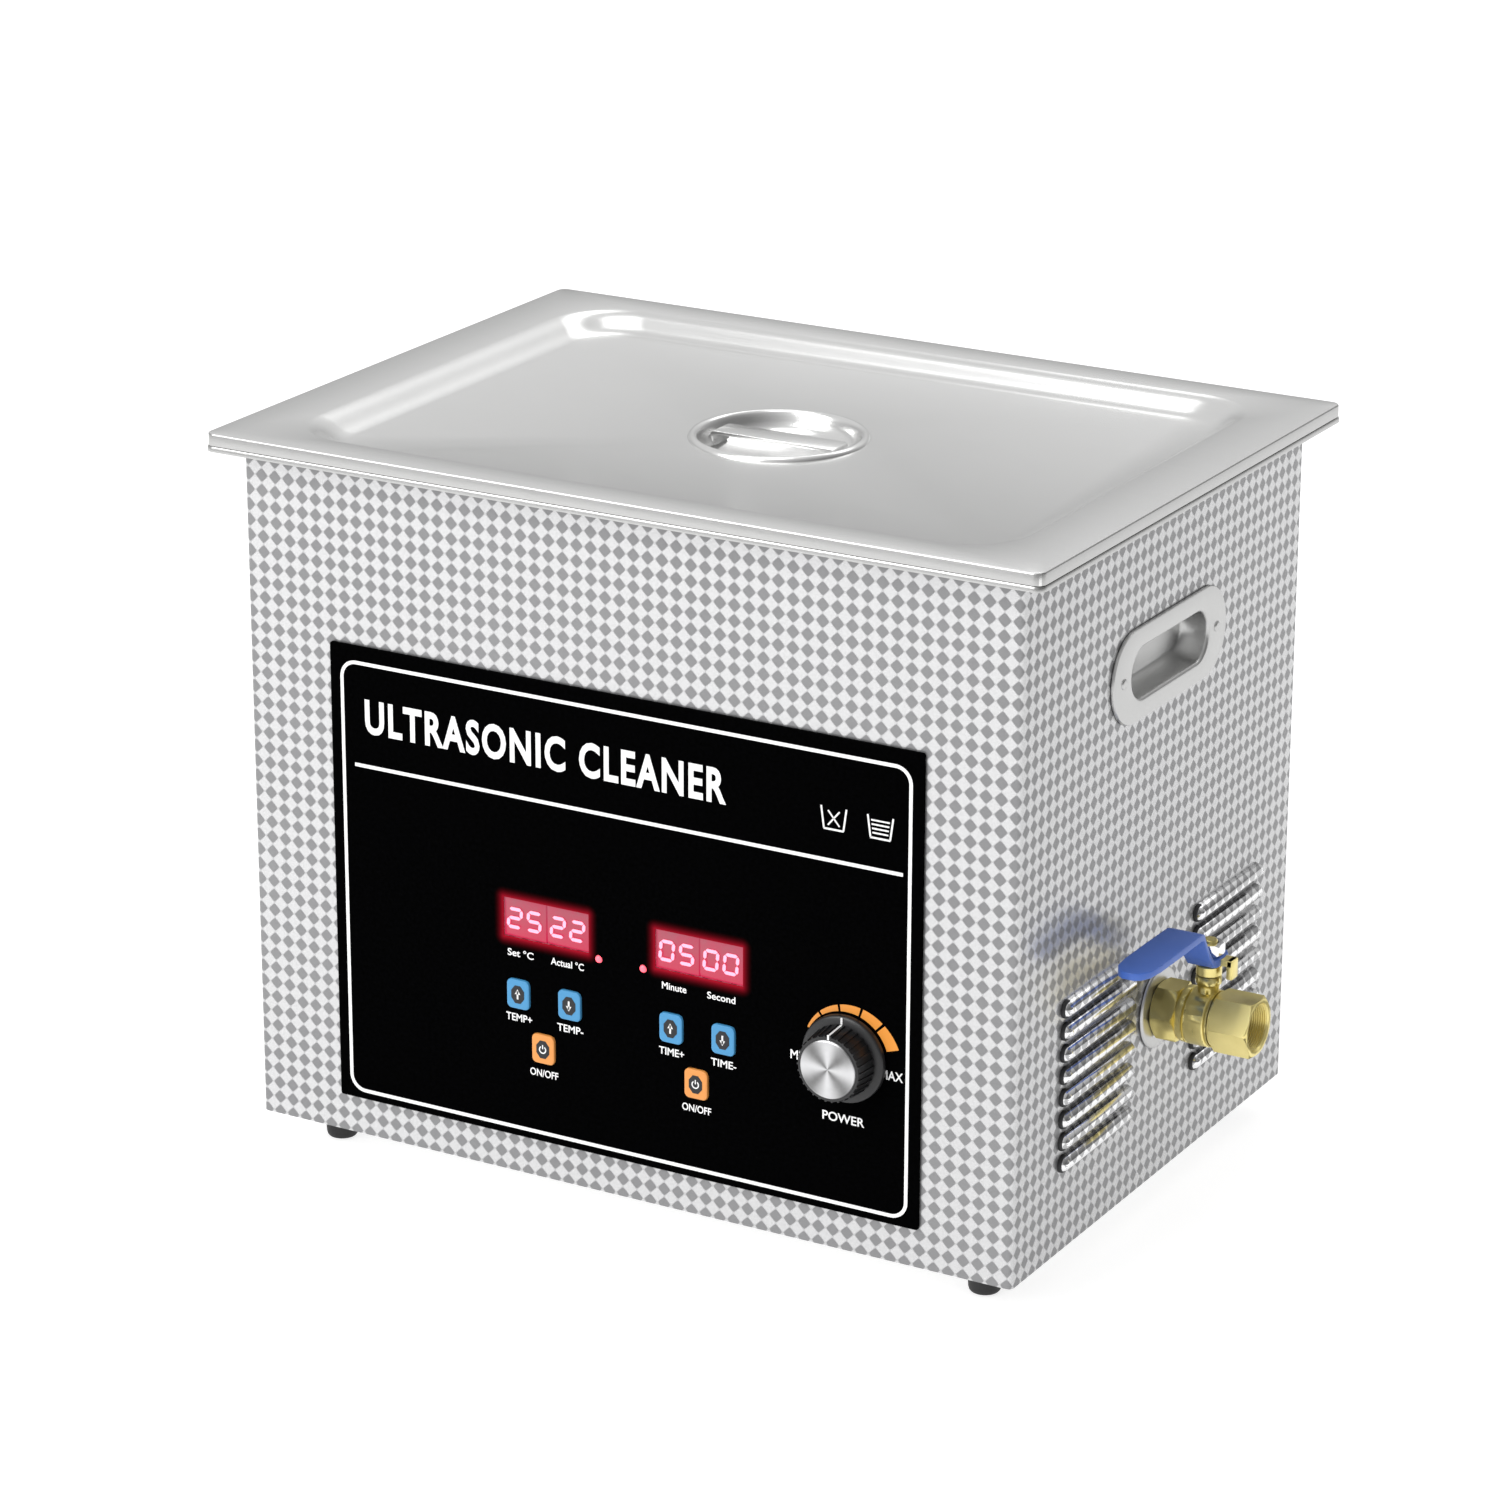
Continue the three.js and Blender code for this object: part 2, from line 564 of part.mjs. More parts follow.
add("handle_right", MATERIALS.brushedSteel, FACING.right(handle()), halfWidth + GAP, 0, HANDLE.z);
add("handle_left", MATERIALS.brushedSteel, FACING.left(handle()), -halfWidth - GAP, 0, HANDLE.z);

// ---- drain pipe and ball valve; the valve's own zero is on the casing's outer face ----
function drainPipe() {
  const { outer, inner, drop, bend } = PIPE;
  const top = tankUnderside - GAP;
  const path = new THREE.CurvePath();
  path.add(new THREE.LineCurve3(new THREE.Vector3(drop, 0, top), new THREE.Vector3(drop, 0, VALVE.z + bend)));
  const corner = new THREE.Vector3(drop, 0, VALVE.z);
  const turnEnd = new THREE.Vector3(drop + bend, 0, VALVE.z);
  path.add(new THREE.QuadraticBezierCurve3(new THREE.Vector3(drop, 0, VALVE.z + bend), corner, turnEnd));
  path.add(new THREE.LineCurve3(turnEnd, new THREE.Vector3(halfWidth + 8, 0, VALVE.z)));
  const section = new THREE.Shape().absarc(0, 0, outer, 0, 2 * Math.PI);
  section.holes.push(new THREE.Path().absarc(0, 0, inner, 0, 2 * Math.PI, true));
  const pipe = new THREE.ExtrudeGeometry(section, { steps: 12, curveSegments: 6, extrudePath: path });
  return join(pipe, ring(outer + 5, inner + 0.2, top - 4, top).translate(drop, 0, 0));
}

function nut(acrossFlats, bore, from, to, facing) {
  const blank = FACING[facing](slab(hexagon(acrossFlats), to - from).translate(0, 0, from));
  const [flat, corner, chamfer] = [acrossFlats / 2, acrossFlats * 0.58, 1.2];
  const limit = turned([
    [0, from], [flat, from], [corner, from + chamfer], [corner, to - chamfer], [flat, to], [0, to],
  ], facing, 24);
  return cut(common(blank, limit), rod(bore, from - 1, to + 1, facing));
}

function valveBody() {
  const { bore, pocket, split, stem, hexWidth } = VALVE;
  const hex = nut(hexWidth, 1, 1.8, 11.4, "right");
  const barrel = turned([
    [0, 10], [10.6, 10], [10.6, 11.6], [11.6, 13], [11.6, 14.8], [11, 15.3], [11.6, 15.8], [11.8, 18],
    [11.8, 23.5], [11.1, 24.1], [11.6, 24.6], [11.6, split - GAP], [0, split - GAP],
  ], "right");
  const bonnet = turned([[0, 5], [4.1, 5], [4.1, 13], [4.9, 14], [4.9, 17.2], [0, 17.2]], "up", 16);
  const cavity = [
    rod(PIPE.outer + 0.4, 0, 8.3, "right"),
    rod(bore, 5, 12, "right"),
    rod(pocket, 10, split + 1, "right", ROUND),
    rod(3.4, 5, 20, "up", 16).translate(stem, 0, 0),
  ];
  return cut(join(hex, barrel, bonnet.translate(stem, 0, 0)), ...cavity);
}

function valveEndCap() {
  const { bore, pocket, split, length, hexWidth } = VALVE;
  const hex = nut(hexWidth + 1, 1, split + 0.6, length, "right");
  const collar = rod(11, split, split + 3, "right");
  const cavity = [
    rod(pocket, split - 1, 32, "right", ROUND),
    rod(bore, 30, 35, "right"),
    rod(9.5, 33.4, length + 1, "right", ROUND),
  ];
  return cut(join(hex, collar), ...cavity);
}

// A seat is a ring with a cone towards the ball; side -1 is the tank's side of the ball.
function valveSeat(side) {
  const profile = [[6.6, 10.7], [9.3, 10.7], [9.3, 3], [8.9, 3], [6.8, 6.4], [6.6, 10.7]];
  return turned(profile.map(([radius, away]) => [radius, side * away]), "right", ROUND);
}

function valveBall() {
  const { ball, bore } = VALVE;
  const passage = rod(bore - 0.6, -ball, ball, "front", 12);
  return cut(new THREE.SphereGeometry(ball, 16, 10), passage, block(3.4, 20, 4, 0, 0, ball - 0.2));
}

function valveStem() {
  return join(rod(3, 8.9, 30, "up", 16), block(2.6, 5.4, 2.6, 0, 0, 8.2));
}

function lever() {
  const [hubZ, paddleZ, sheet] = [22.6, 39.4, 2.8];
  const side = new THREE.Shape([
    new THREE.Vector2(9, hubZ), new THREE.Vector2(9, hubZ + sheet), new THREE.Vector2(-6.6, hubZ + sheet),
    new THREE.Vector2(-20.5, paddleZ + sheet), new THREE.Vector2(-71, paddleZ + sheet),
    new THREE.Vector2(-71, paddleZ), new THREE.Vector2(-21.8, paddleZ), new THREE.Vector2(-7.6, hubZ),
  ]);
  const strip = slab(side, 30, "right").translate(-15, 0, 0);
  const plan = new THREE.Shape();
  plan.moveTo(7.2, -6).lineTo(7.2, -62.5).absarc(0, -62.5, 7.2, 0, -Math.PI, true);
  plan.lineTo(-7.2, -6).lineTo(-8.4, 0).absarc(0, 0, 8.4, Math.PI, 0, true);
  const outline = slab(plan, 40, "up", 8).translate(0, 0, 10);
  const stop = block(2.6, 6, 8, 9.4, 0, 21.4);
  const bridge = block(5, 6, sheet, 8.2, 0, hubZ + sheet / 2);
  return cut(join(common(strip, outline), stop, bridge), rod(3.4, 15, 40, "up", 16));
}

const valve = new THREE.Group();
valve.position.set(halfWidth, 0, VALVE.z);
cleaner.add(valve);
add("drain_pipe", MATERIALS.brushedSteel, drainPipe());
add("drain_locknut", MATERIALS.brass, nut(27, PIPE.outer + GAP, -9, -1.5, "right"), 0, 0, 0, valve);
add("drain_washer", MATERIALS.chrome, ring(16, PIPE.outer + GAP, GAP, 1.5, "right", ROUND), 0, 0, 0, valve);
add("valve_body", MATERIALS.brass, valveBody(), 0, 0, 0, valve);
add("valve_end_cap", MATERIALS.brass, valveEndCap(), 0, 0, 0, valve);
const ballGroup = new THREE.Group();
ballGroup.position.set(VALVE.stem, 0, 0);
valve.add(ballGroup);
add("valve_seat_inner", MATERIALS.seatPlastic, valveSeat(-1), 0, 0, 0, ballGroup);
add("valve_seat_outer", MATERIALS.seatPlastic, valveSeat(1), 0, 0, 0, ballGroup);
add("valve_ball", MATERIALS.chrome, valveBall(), 0, 0, 0, ballGroup);
add("valve_stem", MATERIALS.brass, valveStem(), 0, 0, 0, ballGroup);
add("valve_gland_nut", MATERIALS.brass, nut(10, 3.4, 17.5, 21.6, "up"), 0, 0, 0, ballGroup);
add("valve_lever", MATERIALS.blueVinyl, lever(), 0, 0, 0, ballGroup);
add("lever_nut", MATERIALS.chrome, nut(10, 3.3, 25.7, 30.4, "up"), 0, 0, 0, ballGroup);

// ---- electronics inside ----
function controlBoard() {
  const board = block(128, 1.6, 68);
  const parts = [block(20, 12, 14, -40, 6, 14), block(16, 10, 20, 30, 5, 10), block(30, 8, 8, 0, 4, -22)];
  return join(board, ...parts);
}

function generatorBoard() {
  const { width, depth, sheet, leg } = BOARD;
  const legs = [[-1, -1], [1, -1], [-1, 1], [1, 1]].map(([sx, sy]) => {
    return rod(3, -leg, 0, "up", 8).translate(sx * (width / 2 - 7), sy * (depth / 2 - 7), 0);
  });
  const cans = [30, -4, -34].map((y) => rod(10, 0, 26, "up", 16).translate(-50, y, 0));
  const coils = [block(24, 34, 16, 50, -30, 8), block(30, 18, 12, 46, 34, 6)];
  return join(block(width, depth, sheet), ...legs, ...cans, ...coils);
}

function heatSink() {
  const fins = Array.from({ length: 9 }, (_, i) => block(1.8, 36, 22, -28 + i * 7, 0, 14));
  return join(block(60, 36, 4, 0, 0, 2), ...fins);
}

function outputTransformer() {
  return join(block(34, 26, 28, 0, 0, 14), rod(12, -18, 18, "front", 20).translate(0, 0, 14));
}

const boardDeck = CASING.wall + BOARD.leg + GAP + 0.2; // its legs stand just clear of the base plate
add("control_board", MATERIALS.circuitBoard, controlBoard(), 0, fasciaFace + 0.4 + DISPLAY.depth + 2, 72);
add("generator_board", MATERIALS.circuitBoard, generatorBoard(), BOARD.x, BOARD.y, boardDeck);
add("heat_sink", MATERIALS.aluminium, heatSink(), -22, 35, boardDeck + 1.2);
add("output_transformer", MATERIALS.ferrite, outputTransformer(), -6, -22, boardDeck + 1.2);

// ---- rear fan ----
function fanFrame() {
  const { size, depth, bore } = FAN;
  const frame = cut(slab(roundedRect(size, size, 5), depth, "back"), rod(bore, -1, depth + 1, "back", ROUND));
  const struts = [0, 60, 120].map((angle) => {
    return block(2 * bore + 2, 2, 5).translate(0, 2, 0).rotateY(THREE.MathUtils.degToRad(angle));
  });
  return join(frame, ...struts, rod(FAN.hub, 0, 5, "back"));
}

function fanRotor() {
  const { hub, blade, blades } = FAN;
  const fins = Array.from({ length: blades }, (_, i) => {
    const fin = block(1.8, 12, blade - hub + 3, 0, 0, (blade + hub - 3) / 2).rotateZ(0.7);
    return fin.translate(0, 13.5, 0).rotateY((i * 2 * Math.PI) / blades);
  });
  return join(rod(hub - 1, 6, 21, "back"), ...fins);
}

function fanGuard() {
  const rings = [20, 38].map((radius) => ring(radius + 1, radius - 1, 2.4, 4.4, "back", ROUND));
  const bars = [45, 135].map((angle) => {
    return block(106, 2, 2.4).translate(0, 1.5, 0).rotateY(THREE.MathUtils.degToRad(angle));
  });
  const link = [45, 135].map((angle) => {
    return block(82, 3, 1.6).translate(0, 2, 0).rotateY(THREE.MathUtils.degToRad(angle));
  });
  return join(...rings, ...bars, ...link);
}

const rearInside = halfDepth - CASING.wall - GAP;
add("fan_frame", MATERIALS.blackPlastic, fanFrame(), FAN.x, rearInside - FAN.depth, FAN.z);
add("fan_rotor", MATERIALS.blackPlastic, fanRotor(), FAN.x, rearInside - FAN.depth, FAN.z);
add("fan_guard", MATERIALS.chrome, fanGuard(), FAN.x, halfDepth + GAP, FAN.z);

// ---- mains inlet, switch and fuse on the back ----
function powerInlet() {
  const { width, height, bodyWidth, bodyHeight, bodyDepth } = INLET;
  const plate = slab(roundedRect(width, height, 4), 2.4, "back");
  const outline = roundedRect(bodyWidth, bodyHeight, 2);
  const body = slab(outline, bodyDepth, "back").translate(0, 1.5 - bodyDepth, 0);
  const socket = block(SOCKET.width, SOCKET.depth, SOCKET.height, 0, 2.5 - SOCKET.depth / 2, 0);
  const pins = [[-7, -2], [7, -2], [0, 3]].map(([x, z]) => block(2, SOCKET.pin, 4, x, -7.5, z));
  const screws = [-20, 20].map((x) => rod(1.8, -3, 5, "back", 12).translate(x, 0, 0));
  return join(cut(join(plate, body), socket, ...screws), ...pins);
}

function switchHousing() {
  const { width, height } = ROCKER;
  const bezel = slab(roundedRect(width, height, 1.5), 1.8, "back", 3);
  const body = block(width - 2, 16, height - 2, 0, -7, 0);
  return cut(join(bezel, body), block(width - 5, 12, height - 4, 0, -1.2, 0));
}

// A shallow V of two faces that tips about its middle; it rests with its lower half pressed in.
function rocker() {
  const { width, height, tilt } = ROCKER;
  const reach = (height - 4) / 2 - 0.7;
  const profile = new THREE.Shape([
    new THREE.Vector2(-4.2, -reach + 0.6), new THREE.Vector2(2.4, -reach), new THREE.Vector2(1.3, 0),
    new THREE.Vector2(2.4, reach), new THREE.Vector2(-4.2, reach - 0.6),
  ]);
  const bar = slab(profile, width - 6, "right").translate((6 - width) / 2, 0, 0);
  return bar.rotateX(THREE.MathUtils.degToRad(-tilt));
}

function fuseHolder() {
  const { radius } = FUSE;
  return turned([
    [0, -28], [radius - 1, -28], [radius - 1, -2], [radius, -2], [radius, GAP], [radius + 2, GAP],
    [radius + 2, 2], [radius - 0.4, 2.6], [radius - 0.8, 6.4], [radius - 1.6, 7], [0, 7],
  ], "back");
}

add("power_inlet", MATERIALS.blackPlastic, powerInlet(), INLET.x, halfDepth + GAP, INLET.z);
add("switch_housing", MATERIALS.blackPlastic, switchHousing(), ROCKER.x, halfDepth + GAP, ROCKER.z);
add("rocker", MATERIALS.blackPlastic, rocker(), ROCKER.x, halfDepth + 1, ROCKER.z);
add("fuse_holder", MATERIALS.blackPlastic, fuseHolder(), FUSE.x, halfDepth, FUSE.z);

// ---- reference point: the middle of the base of the whole object's box ----
const object = new THREE.Group();
object.add(cleaner);
const bounds = new THREE.Box3().setFromObject(cleaner, true);
const middle = bounds.getCenter(new THREE.Vector3());
cleaner.position.set(-middle.x, -middle.y, -bounds.min.z);

export default object;
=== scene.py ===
import bpy
import bmesh
import json
import math
from mathutils import Matrix, Vector


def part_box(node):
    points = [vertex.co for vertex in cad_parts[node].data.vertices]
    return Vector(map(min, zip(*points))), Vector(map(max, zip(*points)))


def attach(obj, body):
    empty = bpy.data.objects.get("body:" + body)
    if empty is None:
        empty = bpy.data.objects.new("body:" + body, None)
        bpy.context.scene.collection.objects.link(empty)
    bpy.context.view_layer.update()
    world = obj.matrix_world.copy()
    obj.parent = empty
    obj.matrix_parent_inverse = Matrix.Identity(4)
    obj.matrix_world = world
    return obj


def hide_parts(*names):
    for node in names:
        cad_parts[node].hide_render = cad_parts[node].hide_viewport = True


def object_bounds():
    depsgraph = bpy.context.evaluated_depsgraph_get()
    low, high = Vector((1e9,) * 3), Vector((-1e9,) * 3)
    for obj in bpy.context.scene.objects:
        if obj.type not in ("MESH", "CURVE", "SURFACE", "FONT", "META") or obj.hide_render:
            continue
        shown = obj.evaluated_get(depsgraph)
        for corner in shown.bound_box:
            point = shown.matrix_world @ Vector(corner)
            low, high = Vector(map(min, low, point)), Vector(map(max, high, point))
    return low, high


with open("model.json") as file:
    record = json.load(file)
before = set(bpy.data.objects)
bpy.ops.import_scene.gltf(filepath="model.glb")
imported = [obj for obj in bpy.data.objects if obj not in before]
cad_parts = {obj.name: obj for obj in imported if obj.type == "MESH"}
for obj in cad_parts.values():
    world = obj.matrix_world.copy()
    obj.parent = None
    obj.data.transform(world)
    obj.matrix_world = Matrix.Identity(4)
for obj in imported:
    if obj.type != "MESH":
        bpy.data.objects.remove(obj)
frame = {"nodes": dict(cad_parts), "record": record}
cadLow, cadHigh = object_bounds()

mm = 0.001
turn = math.pi * 2
casingLow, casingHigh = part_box("outer_casing")
# the casing's lower edge in the middle of the casing: every size below is in millimetres from here
middle = Vector(((casingLow.x + casingHigh.x) / 2, (casingLow.y + casingHigh.y) / 2, casingLow.z))
casingSize = {"width": 330, "depth": 235, "height": 270, "wall": 1.2}
halfWidth = casingSize["width"] / 2
halfDepth = casingSize["depth"] / 2


def local(x, y, z):
    return Vector((x * mm, y * mm, z * mm))


def at(x, y, z):
    return middle + Vector((x, y, z)) * mm


def boxMiddle(low, high):
    return (low + high) / 2


# ---- small tools used by every piece ----
def freeHands():
    if bpy.context.object and bpy.context.object.mode != "OBJECT":
        bpy.ops.object.mode_set(mode="OBJECT")
    bpy.ops.object.select_all(action="DESELECT")


def pick(piece):
    freeHands()
    piece.select_set(True)
    bpy.context.view_layer.objects.active = piece


def editing(piece, *modes):
    pick(piece)
    bpy.ops.object.mode_set(mode="EDIT")
    if modes:
        selectMode(*modes)


# selects, on the piece being edited, just the elements that pass a test
def choose(piece, faces=None, edges=None, verts=None):
    mesh = bmesh.from_edit_mesh(piece.data)
    for group in (mesh.faces, mesh.edges, mesh.verts):
        for element in group:
            element.select = False
    for group, test in ((mesh.verts, verts), (mesh.edges, edges), (mesh.faces, faces)):
        for element in group:
            if test and test(element):
                element.select = True
    if verts:
        mesh.select_flush(True)


def selectMode(*modes):
    bpy.context.tool_settings.mesh_select_mode = tuple(m in modes for m in ("vert", "edge", "face"))


def modify(piece, kind, **settings):
    pick(piece)
    modifier = piece.modifiers.new(kind.lower(), kind)
    for key, value in settings.items():
        setattr(modifier, key, value)
    bpy.ops.object.modifier_apply(modifier=modifier.name)


def soften(piece, width, segments=3, angle=30):
    modify(piece, "BEVEL", width=width * mm, segments=segments, limit_method="ANGLE",
           angle_limit=math.radians(angle), harden_normals=False)


def smooth(piece, angle=35):
    pick(piece)
    bpy.ops.object.shade_smooth_by_angle(angle=math.radians(angle))


def tidyNormals(piece):
    editing(piece)
    selectMode("face")
    bpy.ops.mesh.select_all(action="SELECT")
    bpy.ops.mesh.remove_doubles(threshold=0.00001)
    bpy.ops.mesh.normals_make_consistent(inside=False)
    freeHands()


def joinPieces(pieces):
    freeHands()
    for piece in pieces:
        piece.select_set(True)
    bpy.context.view_layer.objects.active = pieces[0]
    if len(pieces) > 1:
        bpy.ops.object.join()
    return pieces[0]


def settle(piece):
    pick(piece)
    bpy.ops.object.transform_apply(location=True, rotation=True, scale=True)


# how a piece modelled looking up is turned to look out of a face of the casing
facing = {
    "up": Matrix.Identity(4),
    "front": Matrix.Rotation(math.pi / 2, 4, "X"),
    "back": Matrix.Rotation(math.pi, 4, "Z") @ Matrix.Rotation(math.pi / 2, 4, "X"),
    "right": Matrix.Rotation(math.pi / 2, 4, "Z") @ Matrix.Rotation(math.pi / 2, 4, "X"),
    "left": Matrix.Rotation(-math.pi / 2, 4, "Z") @ Matrix.Rotation(math.pi / 2, 4, "X"),
}


# sets a piece modelled looking up onto a spot, looking out of a face and spun in its plane
def put(piece, spot, face="up", spin=0.0):
    piece.matrix_world = Matrix.Translation(spot) @ facing[face] @ Matrix.Rotation(spin, 4, "Z")
    settle(piece)
    return piece


def stand(piece, x, y, z, face="up", spin=0.0):
    return put(piece, at(x, y, z), face, spin)


def handOver(piece, name, body, finish, slotName, *nodes):
    piece.name = name
    piece.data.name = name
    if finish:
        piece.data.materials.clear()
        piece.data.materials.append(finish)
    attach(piece, body)
    if nodes:
        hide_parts(*nodes)
    return piece


def cuboid(width, depth, height, x=0, y=0, z=0):
    freeHands()
    bpy.ops.mesh.primitive_cube_add(size=1, location=local(x, y, z), scale=local(width, depth, height))
    piece = bpy.context.object
    settle(piece)
    return piece


def cylinder(radius, height, x=0, y=0, z=0, sides=48):
    freeHands()
    bpy.ops.mesh.primitive_cylinder_add(vertices=sides, radius=radius * mm, depth=height * mm,
                                        location=local(x, y, z))
    piece = bpy.context.object
    settle(piece)
    return piece


# whether a point lies on a rounded rectangle
def onOutline(point, ring):
    width, depth, radius, z = (value * mm for value in ring)
    if abs(point.z - z) > 2e-5:
        return False
    qx, qy = abs(point.x) - (width / 2 - radius), abs(point.y) - (depth / 2 - radius)
    away = math.hypot(max(qx, 0), max(qy, 0)) + min(max(qx, qy), 0) - radius
    return abs(away) < 3e-5


# a skin drawn through rounded rectangles, each one (width, depth, corner radius, height)
def ringStack(rings, segments=8, capFirst=True, capLast=True):
    # two rings at one height are bridged the wrong way round, so the second is set a hair lower
    rings = [(*ring[:3], ring[3] - (0.012 if number and ring[3] == rings[number - 1][3] else 0))
             for number, ring in enumerate(rings)]
    freeHands()
    bpy.ops.mesh.primitive_plane_add(size=1, location=(0, 0, 0))
    piece = bpy.context.object
    bpy.ops.object.mode_set(mode="EDIT")
    selectMode("vert", "edge")
    for number, ring in enumerate(rings):
        width, depth, radius, z = ring
        if number:
            bpy.ops.mesh.select_all(action="DESELECT")
            bpy.ops.mesh.primitive_plane_add(size=1, location=(0, 0, 0))
        bpy.ops.transform.resize(value=(width * mm, depth * mm, 1))
        bpy.ops.transform.translate(value=(0, 0, z * mm))
        bpy.ops.mesh.bevel(offset=radius * mm, offset_type="OFFSET", segments=segments, profile=0.5,
                           affect="VERTICES", clamp_overlap=False)
        bpy.ops.mesh.delete(type="ONLY_FACE")
        if number:
            pair = (rings[number - 1], ring)
            choose(piece, edges=lambda e: any(all(onOutline(v.co, r) for v in e.verts) for r in pair))
            bpy.ops.mesh.bridge_edge_loops()
    for wanted, ring in ((capFirst, rings[0]), (capLast, rings[-1])):
        if wanted:
            choose(piece, edges=lambda e: all(onOutline(v.co, ring) for v in e.verts))
            bpy.ops.mesh.edge_face_add()
    bpy.ops.mesh.select_all(action="SELECT")
    bpy.ops.mesh.normals_make_consistent(inside=False)
    freeHands()
    return piece


# a profile of (radius, height) points turned about the upright axis
def turnedPiece(profile, steps=48):
    freeHands()
    bpy.ops.mesh.primitive_plane_add(size=0.001, location=(0, 0, 0))
    piece = bpy.context.object
    bpy.ops.object.mode_set(mode="EDIT")
    selectMode("vert")
    bpy.ops.mesh.merge(type="CENTER")
    radius, height = profile[0]
    bpy.ops.transform.translate(value=(radius * mm, 0, height * mm))
    for nextRadius, nextHeight in profile[1:]:
        move = ((nextRadius - radius) * mm, 0, (nextHeight - height) * mm)
        bpy.ops.mesh.extrude_vertices_move(TRANSFORM_OT_translate={"value": move})
        radius, height = nextRadius, nextHeight
    bpy.ops.mesh.select_all(action="SELECT")
    bpy.ops.mesh.spin(steps=steps, angle=turn, center=(0, 0, 0), axis=(0, 0, 1))
    bpy.ops.mesh.select_all(action="SELECT")
    bpy.ops.mesh.remove_doubles(threshold=0.000004)
    bpy.ops.mesh.normals_make_consistent(inside=False)
    freeHands()
    return piece


def carve(piece, tool, operation="DIFFERENCE"):
    pick(piece)
    modifier = piece.modifiers.new("carve", "BOOLEAN")
    modifier.operation = operation
    modifier.solver = "EXACT"
    modifier.object = tool
    bpy.ops.object.modifier_apply(modifier=modifier.name)
    discard(tool)
    return piece


def copyOf(piece):
    pick(piece)
    bpy.ops.object.duplicate()
    return bpy.context.object


def discard(*pieces):
    for piece in pieces:
        bpy.data.objects.remove(piece, do_unlink=True)


# turns and stretches all of the piece being edited about its own middle
def reshapeAll(piece, spin=0.0, stretch=None, centre=(0, 0, 0)):
    editing(piece)
    bpy.ops.mesh.select_all(action="SELECT")
    if spin:
        bpy.ops.transform.rotate(value=spin, orient_axis="Z", center_override=centre)
    if stretch:
        bpy.ops.transform.resize(value=stretch)
    freeHands()


# ---- materials ----
class Nodes:

    def __init__(self, name):
        self.material = bpy.data.materials.new(name)
        self.material.use_nodes = True
        self.tree = self.material.node_tree
        self.shader = self.tree.nodes["Principled BSDF"]
        self.place = self.add("ShaderNodeTexCoord").outputs["Object"]

    def add(self, kind, **settings):
        node = self.tree.nodes.new(kind)
        for key, value in settings.items():
            setattr(node, key, value)
        return node

    def link(self, source, target):
        self.tree.links.new(source, target)

    def feed(self, node, values):
        for key, value in values.items():
            if isinstance(value, bpy.types.NodeSocket):
                self.link(value, node.inputs[key])
            else:
                node.inputs[key].default_value = value

    def math(self, operation, a, b=0.0, clamp=False):
        node = self.add("ShaderNodeMath", operation=operation, use_clamp=clamp)
        self.feed(node, {0: a, 1: b})
        return node.outputs[0]

    def length(self, a, b):
        return self.math("SQRT", self.math("ADD", self.math("MULTIPLY", a, a), self.math("MULTIPLY", b, b)))

    def axes(self):
        split = self.add("ShaderNodeSeparateXYZ")
        self.link(self.place, split.inputs[0])
        return split.outputs

    def noise(self, scale, detail=4.0, roughness=0.5, stretch=(1, 1, 1)):
        mapping = self.add("ShaderNodeMapping")
        self.feed(mapping, {"Vector": self.place, "Scale": stretch})
        node = self.add("ShaderNodeTexNoise")
        self.feed(node, {"Vector": mapping.outputs[0], "Scale": scale, "Detail": detail, "Roughness": roughness})
        return node.outputs["Fac"]

    def ramp(self, value, low, high, fromMin=0.3, fromMax=0.7, smoothStep=False):
        node = self.add("ShaderNodeMapRange", interpolation_type="SMOOTHSTEP" if smoothStep else "LINEAR")
        self.feed(node, {"Value": value, "From Min": fromMin, "From Max": fromMax, "To Min": low, "To Max": high})
        return node.outputs[0]

    def blend(self, factor, first, second):
        node = self.add("ShaderNodeMix", data_type="RGBA")
        self.feed(node, {0: factor, 6: first, 7: second})
        return node.outputs[2]

    def bump(self, height, strength, distance):
        node = self.add("ShaderNodeBump")
        self.feed(node, {"Height": height, "Strength": strength, "Distance": distance})
        self.link(node.outputs[0], self.shader.inputs["Normal"])

    def set(self, **values):
        names = {"color": "Base Color", "metallic": "Metallic", "roughness": "Roughness", "ior": "IOR",
                 "specular": "Specular IOR Level", "coat": "Coat Weight", "coatRoughness": "Coat Roughness",
                 "glow": "Emission Color", "glowStrength": "Emission Strength"}
        self.feed(self.shader, {names[key]: value for key, value in values.items()})
        return self.material


def rgb(red, green, blue):
    return (red, green, blue, 1.0)


checkSteelLook = {"pitch": 6.04, "light": (rgb(0.60, 0.60, 0.605), rgb(0.56, 0.56, 0.565)),
                  "dark": (rgb(0.225, 0.225, 0.23), rgb(0.255, 0.255, 0.26)),
                  "lightRough": 0.24, "darkRough": 0.36, "relief": 0.00005}


# one in the dark diamonds of the casing's pattern and nought in the light ones
def makeDiamonds(nodes):
    x, y, z = nodes.axes()
    wave = turn / (checkSteelLook["pitch"] * mm)
    across = nodes.math("MULTIPLY", nodes.math("ADD", x, y), wave)
    upwards = nodes.math("MULTIPLY", z, wave)
    lattice = nodes.math("ADD", nodes.math("COSINE", across), nodes.math("COSINE", upwards))
    return nodes.ramp(lattice, 1.0, 0.0, -0.30, 0.16, True)


